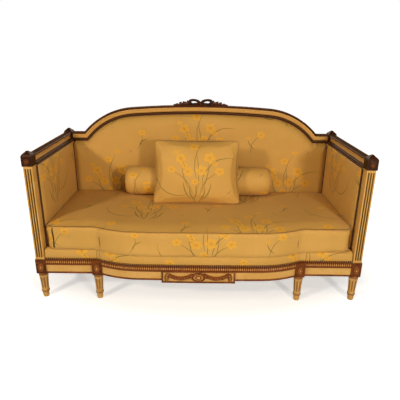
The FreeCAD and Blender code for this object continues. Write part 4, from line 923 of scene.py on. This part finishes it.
def bolster():
    """The bolster: a full roll, slightly swelled, with piped and gathered ends."""
    low, high = (np.array(corner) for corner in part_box("bolster"))
    middle = (low + high) / 2
    half, radius = (high[0] - low[0]) / 2, (high[2] - low[2]) / 2
    reach = half - 0.012
    turn = row(0, math.tau, 97)

    def round_axis(x, r, turn):
        return grid_of(middle[0] + x, middle[1] - r * np.cos(turn), middle[2] + r * np.sin(turn))

    along = np.sin(column(-math.pi / 2, math.pi / 2, 141))
    end = np.clip((abs(along) * reach - (reach - 0.040)) / 0.040, 0, 1)
    body = radius - 0.018 * (1 - np.sqrt(1 - 0.96 * end ** 2)) - 0.002 * abs(along) ** 3
    crease = 0.0016 * np.sin(9 * turn + 3 * along) * np.sin(14 * along) * (1 - abs(along) ** 6)
    pull = 0.0016 * abs(along) ** 8 * np.sin(24 * turn)
    r = body + crease - 0.0045 + pull
    sheets = [(round_axis(along * reach, r, turn), grid_of(along * reach + 0.1, turn * radius + 0.03))]
    share = column(1, 0, 15)
    dome = 0.0115 * (1 - share ** 2) + 0.0022 * np.sin(24 * turn) * np.sin(np.pi * share) * share
    for side, edge in ((-1, r[:1]), (1, r[-1:])):
        rim = edge * share
        cloth = grid_of(rim * np.cos(turn), rim * np.sin(turn))
        sheets.append((round_axis(side * (reach + dome), rim, turn), cloth))
    cover("bolster_cover", sheets, "bolster", "roll", (3.0, 0.004))
    for name, side in SIDES:
        path = round_axis(side * reach, radius - 0.0190, turn[0, :-1])
        trim(f"bolster_piping_{name}", path, PIPING, ALONG_X, body="roll", sides=10, closed=True)


PILLOW_LEAN = math.radians(18)
PILLOW_HALF = (0.2660, 0.1975)
PILLOW_DEEP = ((-1, 0.0580), (1, 0.046))


def lean_back(x, y, z, centre):
    """Points turned about X so that their tops lean back, and carried to a centre."""
    cos, sin = math.cos(PILLOW_LEAN), math.sin(PILLOW_LEAN)
    return grid_of(x, y * cos + z * sin, z * cos - y * sin) + centre


def pillow_plan(u, v):
    """X and Z on the pillow's face: rounded corners, sides drawn in between them and wider below."""
    wide, tall = PILLOW_HALF
    pull = 0.042 * (u * v) ** 10
    x = u * (wide * (1 - pull) - 0.015 * (1 - v ** 2) + 0.008 * np.clip(-v, 0, 1) ** 2)
    return x, v * (tall * (1 - pull) - 0.004 * (1 - u ** 2))


def pillow():
    """The pillow: two faces full in the middle that meet in a piped edge, with folds at the corners."""
    low, high = (np.array(corner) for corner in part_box("pillow"))
    centre = (low + high) / 2 + (0.0, 0.0022, 0.0068)
    u = row(-1, 1, 97)
    v = column(-1, 1, 81)
    x, z = pillow_plan(u, v)
    full = ((1 - u ** 2) * (1 - v ** 2)).clip(0) ** 0.5
    crease = 0.0022 * np.sin(7 * u + 5 * v + 0.6) * np.sin(5.5 * u - 6 * v) * full
    corner = np.arctan2(1.02 - abs(v), 1.02 - abs(u))
    near = np.exp(-((1 - abs(u)) ** 2 + (1 - abs(v)) ** 2) / 0.16)
    crease += 0.0060 * near * np.cos(13 * corner + 1.5 * np.sign(u) + np.sign(v)) * full ** 0.6
    sheets = []
    for way, thick in PILLOW_DEEP:
        y = way * (thick * full - crease * 0.6)
        cloth = grid_of(x * -way + 0.30, z + 0.225)
        sheets.append((lean_back(x, y, z, centre), cloth, np.clip(1.6 * full, 0, 1)))
    cover("pillow_cover", sheets, "pillow", "throw_pillow", (4.0, 0.009))
    edge = spread(-1, 1, 61)[:-1]
    side = np.ones(60)
    x, z = pillow_plan(np.concatenate((edge, side, -edge, -side)), np.concatenate((-side, edge, side, -edge)))
    facing = (0.0, math.cos(PILLOW_LEAN), -math.sin(PILLOW_LEAN))
    path = lean_back(x, 0 * x, z, centre)
    trim("pillow_piping", path, 0.0018, facing, body="throw_pillow", sides=10, closed=True)


def gimp_lines():
    """Gimp along the edges of the covers: the arch, the arms, the posts, the corners and the deck."""
    inside, outside = (arch_line(RAIL_WIDTH + inset) for inset in (0.0015, 0.0030))
    inside = inside[abs(inside[:, 0]) < 0.862]
    runs = [("back", grid_of(inside[:, 0], 0.3665, inside[:, 1]), 0.0045, ALONG_Y)]
    arm_y = spread(-0.285, 0.352, 60)
    for name, side in SIDES:
        for part, x, y, z, radius in (
                ("arm", 0.8675, arm_y, 0.7885, 0.0045), ("outside", 0.9105, arm_y, 0.7875, 0.0045),
                ("corner", 0.8490, 0.3075, spread(0.340, 0.785, 50), 0.0030),
                ("post", 0.8675, -0.2862, spread(0.318, 0.786, 50), 0.0055)):
            runs.append((f"{part}_{name}", grid_of(side * x, y, z), radius, ALONG_X))
    runs.append(("rear", grid_of(outside[:, 0], 0.4030, outside[:, 1])[1:-1], 0.0045, ALONG_Y))
    for name, path, radius, normal in runs:
        trim(f"gimp_{name}", path, radius, normal, "gimp_braid")
    x = spread(-0.862, 0.862, 1200)
    deck = grid_of(x, bow_y(x, 0.0022), 0.2570)
    beads = 0.0028 + 0.0014 * abs(np.sin(math.pi * run_along(deck) / BEAD_PITCH))
    trim("gimp_deck", deck, beads, finish="bead_braid")


def cushion_seams():
    """The upright seams of the cushion's boxing, either side of the bow."""
    z = spread(SEAM_LOW + 0.008, SEAM_HIGH - 0.003, 30)
    tall = (z - SEAM_LOW) / (SEAM_HIGH - SEAM_LOW)
    out = 0.0075 - 0.003 * abs(2 * tall - 1) ** 2
    for name, side in SIDES:
        x = np.full(30, side * 0.548)
        trim(f"cushion_seam_{name}", grid_of(x, bow_y(x, out), z), 0.0009, ALONG_X, "gimp_braid", "cushion")


# Carving and turning

def smooth(amount, low, high):
    """Rises smoothly from 0 at the low value to 1 at the high one."""
    share = np.clip((amount - low) / (high - low), 0, 1)
    return share * share * (3 - 2 * share)


# The turned legs' profile as (height, radius), from the tenon down

LEG_LINE = np.array((
    (0.190, 0.0), (0.190, 0.0118), (0.1615, 0.0118), (0.1615, 0.0268), (0.1600, 0.0273), (0.1510, 0.0273),
    (0.1480, 0.0262), (0.1460, 0.0246), (0.1425, 0.0260), (0.0560, 0.0208), (0.0465, 0.0203),
    (0.0452, 0.0218), (0.0425, 0.0229), (0.0395, 0.0229), (0.0365, 0.0218), (0.0350, 0.0191),
    (0.0020, 0.0161), (0.0, 0.0152), (0.0, 0.0)))


def turned_legs():
    """The four front legs: a turned profile about a vertical axis, cut by eight flutes with rounded ends."""
    steps = run_along(LEG_LINE)
    along = np.unique(np.concatenate((steps, spread(0, steps[-1], 110))))
    z, radius = (np.interp(along, steps, LEG_LINE[:, part])[:, None] for part in (0, 1))
    turn = row(0, math.tau, 129)
    reach = smooth(z, 0.058, 0.068) * (1 - smooth(z, 0.128, 0.138))
    hollow = (0.5 - 0.5 * np.cos(8 * turn)) ** 1.3 * reach
    r = radius - 0.0028 * hollow
    for name, x, y in (("front", POST_X, FRONT + POST_HALF), ("middle", MIDDLE_X, MIDDLE_FRONT + POST_HALF)):
        for side_name, side in SIDES:
            node = f"{name}_leg_{side_name}"
            points = grid_of(side * x + r * np.cos(turn), y + r * np.sin(turn), z)
            surface(f"turned_{node}", [(points, None, 1 - hollow)], "leg_paint", stands_for=(node,))


def rosette(x, y, z, half_x, half_z, depth, petals):
    """An oval flower on a face that looks to -Y, and its value: a boss, lobed petals and a raised rim."""
    share = column(0, 1, 37)
    turn = row(0, math.tau, 8 * petals + 1)
    boss = 0.62 + 0.38 * np.sqrt(np.clip(1 - (share / 0.27) ** 2, 0, 1))
    lobe = 0.45 + 0.55 * abs(np.cos(petals * turn / 2)) ** 0.6
    ring = np.clip((share - 0.27) / 0.53, 0, 1)
    petal = 0.18 + 0.62 * np.sin(np.pi * ring) ** 0.7 * lobe
    rim = 0.18 + 0.50 * np.sin(np.pi * np.clip((share - 0.82) / 0.18, 0, 1))
    height = np.where(share < 0.27, boss, np.where(share < 0.82, petal, rim))
    front = grid_of(x + half_x * share * np.cos(turn), y - depth * height, z + half_z * share * np.sin(turn))
    behind = front[::-1] * (1, 0, 1) + (0, y + 0.0006, 0)
    points = np.concatenate((front, behind[:1], behind[-1:]))
    return points, None, np.pad(height, ((0, 2), (0, 0)))


def rosettes():
    """The flowers on the rail blocks and the cap blocks."""
    z = (RAIL_BOTTOM + RAIL_TOP) / 2 - 0.003
    rails = [rosette(side * x, y, z, 0.020, 0.031, 0.0055, 9)
             for x, y in ((POST_X, FRONT), (MIDDLE_X, MIDDLE_FRONT)) for _, side in SIDES]
    carving("rail_rosettes", rails, "rail_block_paterae", 0.85)
    caps = [rosette(side * POST_X, FRONT, 0.819, 0.016, 0.016, 0.0055, 7) for _, side in SIDES]
    carving("cap_rosettes", caps, "cap_block_paterae", 0.5)


CARVED_PITCH = 0.0115
MOULDING_ENDS = (("left", -POST_INNER, -0.604), ("centre", -0.548, 0.548), ("right", 0.604, POST_INNER))
MOULDING_BACK = -0.0015


def rail_mouldings():
    """The carved moulding under the seat: a row of pearls, a quirk, a band of leaf tips and a fillet.

    The profile stands forward of the bowed rail by a sum of bumps: pearls are half rounds along and up,
    leaves are pointed lobes with a rib that hang from the quirk.
    """
    bands = ((0.2162, 0.2195, 4), (0.2200, 0.2385, 13), (0.2390, 0.2405, 3), (0.2408, 0.2518, 11))
    z = np.concatenate([spread(*band) for band in bands])
    up = z[None, :]
    pearl_up = (up - 0.2463) / 0.0055
    fall = np.clip((0.2388 - up) / 0.0188, 0, 1)
    width = 0.46 * np.sqrt(np.clip(1 - fall ** 2.2, 0, 1))
    fillet = smooth(0.2205 - up, 0, 0.0012)
    in_leaf, in_pearl = (up > 0.2196) & (up < 0.2388), up > 0.2406
    for name, first, last in MOULDING_ENDS:
        x = spread(first, last, int((last - first) / 0.00118))
        run = np.cumsum(np.hypot(np.gradient(x), np.gradient(bow_y(x, 0.004))))[:, None]
        pearl_along = (run / CARVED_PITCH) % 1 - 0.5
        pearl = np.sqrt(np.clip(1 - (pearl_along / 0.30) ** 2 - pearl_up ** 2, 0, 1))
        leaf_along = abs(pearl_along)
        leaf = smooth(width - leaf_along, 0, 0.10) * (0.75 + 0.25 * smooth(0.08 - leaf_along, 0, 0.05))
        proud = 0.0012 + 0.0042 * pearl * in_pearl + 0.0026 * leaf * in_leaf + 0.0030 * fillet
        proud[[0, -1]] = MOULDING_BACK
        # Painted highlight and shade: pearls lighter at their crowns and darker between them, a bright tick
        # along each leaf's upper middle
        leaf_tip_highlight = smooth(0.27 - leaf_along, 0, 0.08) * smooth(0.62 - fall, 0, 0.12)
        value = np.clip(0.40 + (0.45 * pearl - 0.22) * in_pearl + 0.6 * leaf_tip_highlight * in_leaf, 0, 1)
        face = grid_of(x[:, None], bow_y(x[:, None] + 0 * up, proud), up)
        rear = grid_of(x, bow_y(x, MOULDING_BACK), z[0])[:, None]
        points = np.concatenate((rear, face, rear + (0, 0, z[-1] - z[0]), rear), axis=1)
        value = np.pad(value, ((0, 0), (1, 2)))
        carving(f"carved_moulding_{name}", [(points, None, value)], f"rail_moulding_{name}")


def rope(path, radius, twist):
    """Two lumpy strands wound about a path, as a garland, with values that paint light and shade on them."""
    run = run_along(path)
    aside = np.cross(unit(np.gradient(path, axis=0)), ALONG_Y)
    strands = []
    for phase in (0, math.pi):
        turn = (run * twist + phase)[:, None]
        strand = path + radius * 0.5 * (np.cos(turn) * aside + np.sin(turn) * np.array(ALONG_Y))
        lump = 0.72 + 0.28 * abs(np.sin(run * 330 + phase))
        # Painted light: higher values on the lumps and on one side of each strand, lower on the other side
        value = np.pad(lump, 1, mode="edge")[:, None] * (0.62 + 0.16 * np.sin(row(0, math.tau, 9)))
        strands.append((*tube(strand, radius * 0.62 * lump, ALONG_Y), np.clip(value, 0, 1)))
    return strands


def tablet_garland():
    """The tablet's carving: an oval flower, two flowered garlands and a husk drop at each end."""
    front = -0.4028
    sheets = [rosette(0, front, 0.186, 0.043, 0.0270, 0.0125, 11)]
    share = spread(0, 1, 60)
    hang = 0.2045 - 0.0240 * 4 * share * (1 - share)
    for _, side in SIDES:
        x = side * (0.030 + 0.138 * share)
        sheets += rope(grid_of(x, front - 0.0050, hang), 0.0108, 260)
        sheets += [rosette(*place, 0.0105, 0.0100, 0.0165, 5) for place in grid_of(x, front, hang)[5:56:7]]
        sheets.append(rosette(side * 0.172, front, 0.2000, 0.0120, 0.0095, 0.012, 6))
        sheets += [rosette(side * 0.176, front, z, size, 0.0080, 0.010, 5)
                   for z, size in ((0.187, 0.0125), (0.1755, 0.0115), (0.1655, 0.0095))]
    carving("tablet_garland", sheets, "tablet_carving")


def leaf_sheets(x, z, length, width, angle, front, depth):
    """A carved leaf in the plane of the back: pointed, ribbed and curled forward at its tip."""
    t = column(0, 1, 15)
    w = row(-1, 1, 13)
    half = width * np.sin(np.pi * t ** 0.8) ** 0.75 * (1 + 0.10 * np.cos(5 * np.pi * t))
    along, aside = length * t, half * w
    curl = np.sin(np.pi * np.clip(t * 0.9 + 0.1, 0, 1)) ** 0.5
    rise = depth * (0.45 + 0.55 * (1 - abs(w)) ** 0.7) * curl
    cos, sin = math.cos(angle), math.sin(angle)
    face = grid_of(x + along * cos - aside * sin, front - rise, z + along * sin + aside * cos)
    behind = face * (1, 0, 1) + (0, front + 0.010, 0)
    # Painted highlight: the value is highest along the raised middle of the leaf
    value = 0.15 + 0.50 * (1 - abs(w)) * np.sin(np.pi * t)
    rim = np.stack([perimeter(side.swapaxes(0, 1)) for side in (face, behind)])
    return [(face, None, value), (behind,), (rim,)]


# The crest's leaves on one side as (x, rise over the crest, length, width, angle)

CREST_LEAVES = (
    (0.078, 0.004, 0.030, 0.0085, 1.15), (0.088, 0.003, 0.031, 0.0085, 0.72),
    (0.104, 0.002, 0.028, 0.0080, 1.05), (0.120, 0.001, 0.025, 0.0075, 0.95),
    (0.133, 0.001, 0.022, 0.0080, 1.30), (0.146, 0.000, 0.020, 0.0070, 0.70),
    (0.158, 0.000, 0.018, 0.0060, 0.45), (0.052, 0.002, 0.018, 0.0070, 0.9),
    (0.030, 0.002, 0.016, 0.0065, 2.0))


def crest_bow():
    """The carved ribbon on the crest: two open loops, a knot, curling tails and leaves that step down."""
    front, middle = 0.3815, 0.3855
    sheets = [rosette(0, front, 1.0425, 0.0125, 0.0115, 0.0035, 5)]
    turn = spread(0, math.tau, 49)[:-1]
    share = spread(0, 1, 40)
    shade = 0.3 * np.sin(row(0, math.tau, 9))
    for _, side in SIDES:
        loop_x = side * (0.0415 + 0.0315 * np.cos(turn))
        loop_z = 1.0495 + 0.0162 * np.sin(turn) + 0.0030 * np.cos(turn + 0.5)
        ribbon = 0.0092 + 0.0012 * np.cos(2 * turn)
        loop = tube(grid_of(loop_x, middle, loop_z), ribbon, ALONG_Y, closed=True, deep=1.4)
        x = 0.012 + 0.100 * share
        tail_z = arch_height(x, 0) + 0.0060 + 0.0052 * np.sin(2.2 * math.pi * share)
        tail = tube(grid_of(side * x, middle - 0.001, tail_z), 0.0040, ALONG_Y, deep=1.6)
        sheets += [(*loop, 0.25 + shade), (*tail, 0.4 + shade)]
        x = spread(0.004, 0.180, 60)
        sheets += rope(grid_of(side * x, middle - 0.001, arch_height(x, 0) + 0.0012), 0.0058, 200)
        for x, rise, length, width, angle in CREST_LEAVES:
            z = float(arch_height(x, 0)) + rise
            heading = angle if side > 0 else math.pi - angle
            sheets += leaf_sheets(side * x, z, length, width, heading, front + 0.001, 0.005)
    carving("crest_bow", sheets, "crest_carving", 0.55)


# Studio

# Lamps as (name, place, target, size, watts, colour)

LAMPS = (
    ("key", (-2.5, -2.5, 2.1), (0, 0, 0.5), 0.35, 50, (1.0, 0.86, 0.68)),
    ("right", (1.7, -3.2, 1.5), (0, 0, 0.5), 0.35, 51, (1.0, 0.87, 0.70)),
    ("front", (0.3, -3.6, 1.0), (0, 0, 0.4), 1.2, 8, (1.0, 0.86, 0.68)),
    ("overhead", (0.1, -1.25, 1.75), (0, -0.2, 0.4), 0.8, 7.5, (1.0, 0.84, 0.64)),
    ("rear", (0.0, 3.4, 2.2), (0, 0.2, 0.6), 2.2, 40, (1.0, 0.88, 0.72)))
CAMERA_PLACE = (0.0075, -2.382, 1.3532)
CAMERA_PITCH, CAMERA_ROLL, CAMERA_YAW = math.radians(19.76), math.radians(0.622), math.radians(-0.09)
CAMERA_LENS = 36.584


def stand(name, data, right, up, behind, place):
    """Put a camera or a lamp in the scene by its three directions and its place."""
    holder = bpy.data.objects.new(name, data)
    bpy.context.scene.collection.objects.link(holder)
    turn = np.eye(4)
    turn[:3] = grid_of(right, up, behind, place)
    holder.matrix_world = Matrix(turn.tolist())
    return holder


def camera():
    """The photograph's viewpoint: pitched down, with a slight roll and a fitted focal length."""
    data = bpy.data.cameras.new("view")
    data.sensor_width = 36.0
    data.lens = CAMERA_LENS
    data.clip_start = 0.05
    level = math.cos(CAMERA_PITCH)
    ahead = np.array((math.sin(CAMERA_YAW) * level, math.cos(CAMERA_YAW) * level, -math.sin(CAMERA_PITCH)))
    right = np.array((math.cos(CAMERA_YAW), -math.sin(CAMERA_YAW), 0.0))
    down = np.cross(ahead, right)
    cos, sin = math.cos(CAMERA_ROLL), math.sin(CAMERA_ROLL)
    turned = (cos * right - sin * down, -(sin * right + cos * down), -ahead)
    bpy.context.scene.camera = stand("view", data, *turned, CAMERA_PLACE)


def lamp(name, place, target, size, watts, colour):
    """A soft square lamp that looks at a target."""
    data = bpy.data.lights.new(name, "AREA")
    data.size = size
    data.energy = watts
    data.color = colour
    way = unit(np.array(target, float) - np.array(place, float))
    right = unit(np.cross(way, ALONG_Z))
    stand(name, data, right, np.cross(right, way), -way, place)


def studio():
    """A pale floor, a surround that is white to the camera and dim to the sofa, and five soft lamps."""
    mesh = bpy.data.meshes.new("studio_floor")
    mesh.from_pydata([(-12, -9, -0.0005), (12, -9, -0.0005), (12, 14, -0.0005), (-12, 14, -0.0005)], [],
                     [(0, 1, 2, 3)])
    mesh.materials.append(FINISHES["studio_floor"])
    floor = bpy.data.objects.new("studio_floor", mesh)
    bpy.context.scene.collection.objects.link(floor)
    world = bpy.data.worlds.new("surround")
    world.use_nodes = True
    tree = world.node_tree
    back = next(node for node in tree.nodes if node.type == "BACKGROUND")
    rays = tree.nodes.new("ShaderNodeLightPath")
    start = Field(tree, rays.outputs["Is Camera Ray"])
    seen = start.math("MAXIMUM", Field(tree, rays.outputs["Is Glossy Ray"]) * 0.25)
    tree.links.new((seen * 0.96 + 0.04).socket, back.inputs["Strength"])
    tree.links.new(start.blend((1.0, 0.64, 0.30, 1.0), (1.0, 1.0, 1.0, 1.0)).socket, back.inputs["Color"])
    bpy.context.scene.world = world
    for settings in LAMPS:
        lamp(*settings)
    bpy.context.scene.view_settings.view_transform = "Standard"


# Finishes of the solids that stay, by how their names begin

SOLID_FINISHES = {
    "post_paint": ("front_post", "rear_post"), "block_gilt": ("middle_block",),
    "tablet_paint": ("front_tablet",),
    "cream_paint": ("front_rail", "side_rail", "rear_rail"), "plain_cream": ("rear_middle_leg",),
    "beech": ("seat_stretcher", "corner_block", "arm_lower_rail", "back_lower_rail", "back_stile"),
    "webbing_weave": ("seat_webbing", "back_webbing")}


def dress_solids():
    """Give every solid that stays in view its finish."""
    for finish, starts in SOLID_FINISHES.items():
        for name in nodes:
            if name.startswith(starts):
                slots = nodes[name].data.materials
                slots.clear()
                slots.append(FINISHES[finish])


for build in (studio, camera, dress_solids, moulded_rails, inside_pads, outside_panels, seat_deck,
              seat_cushion, bolster, pillow, gimp_lines, cushion_seams, turned_legs, rosettes, rail_mouldings,
              tablet_garland, crest_bow):
    build()
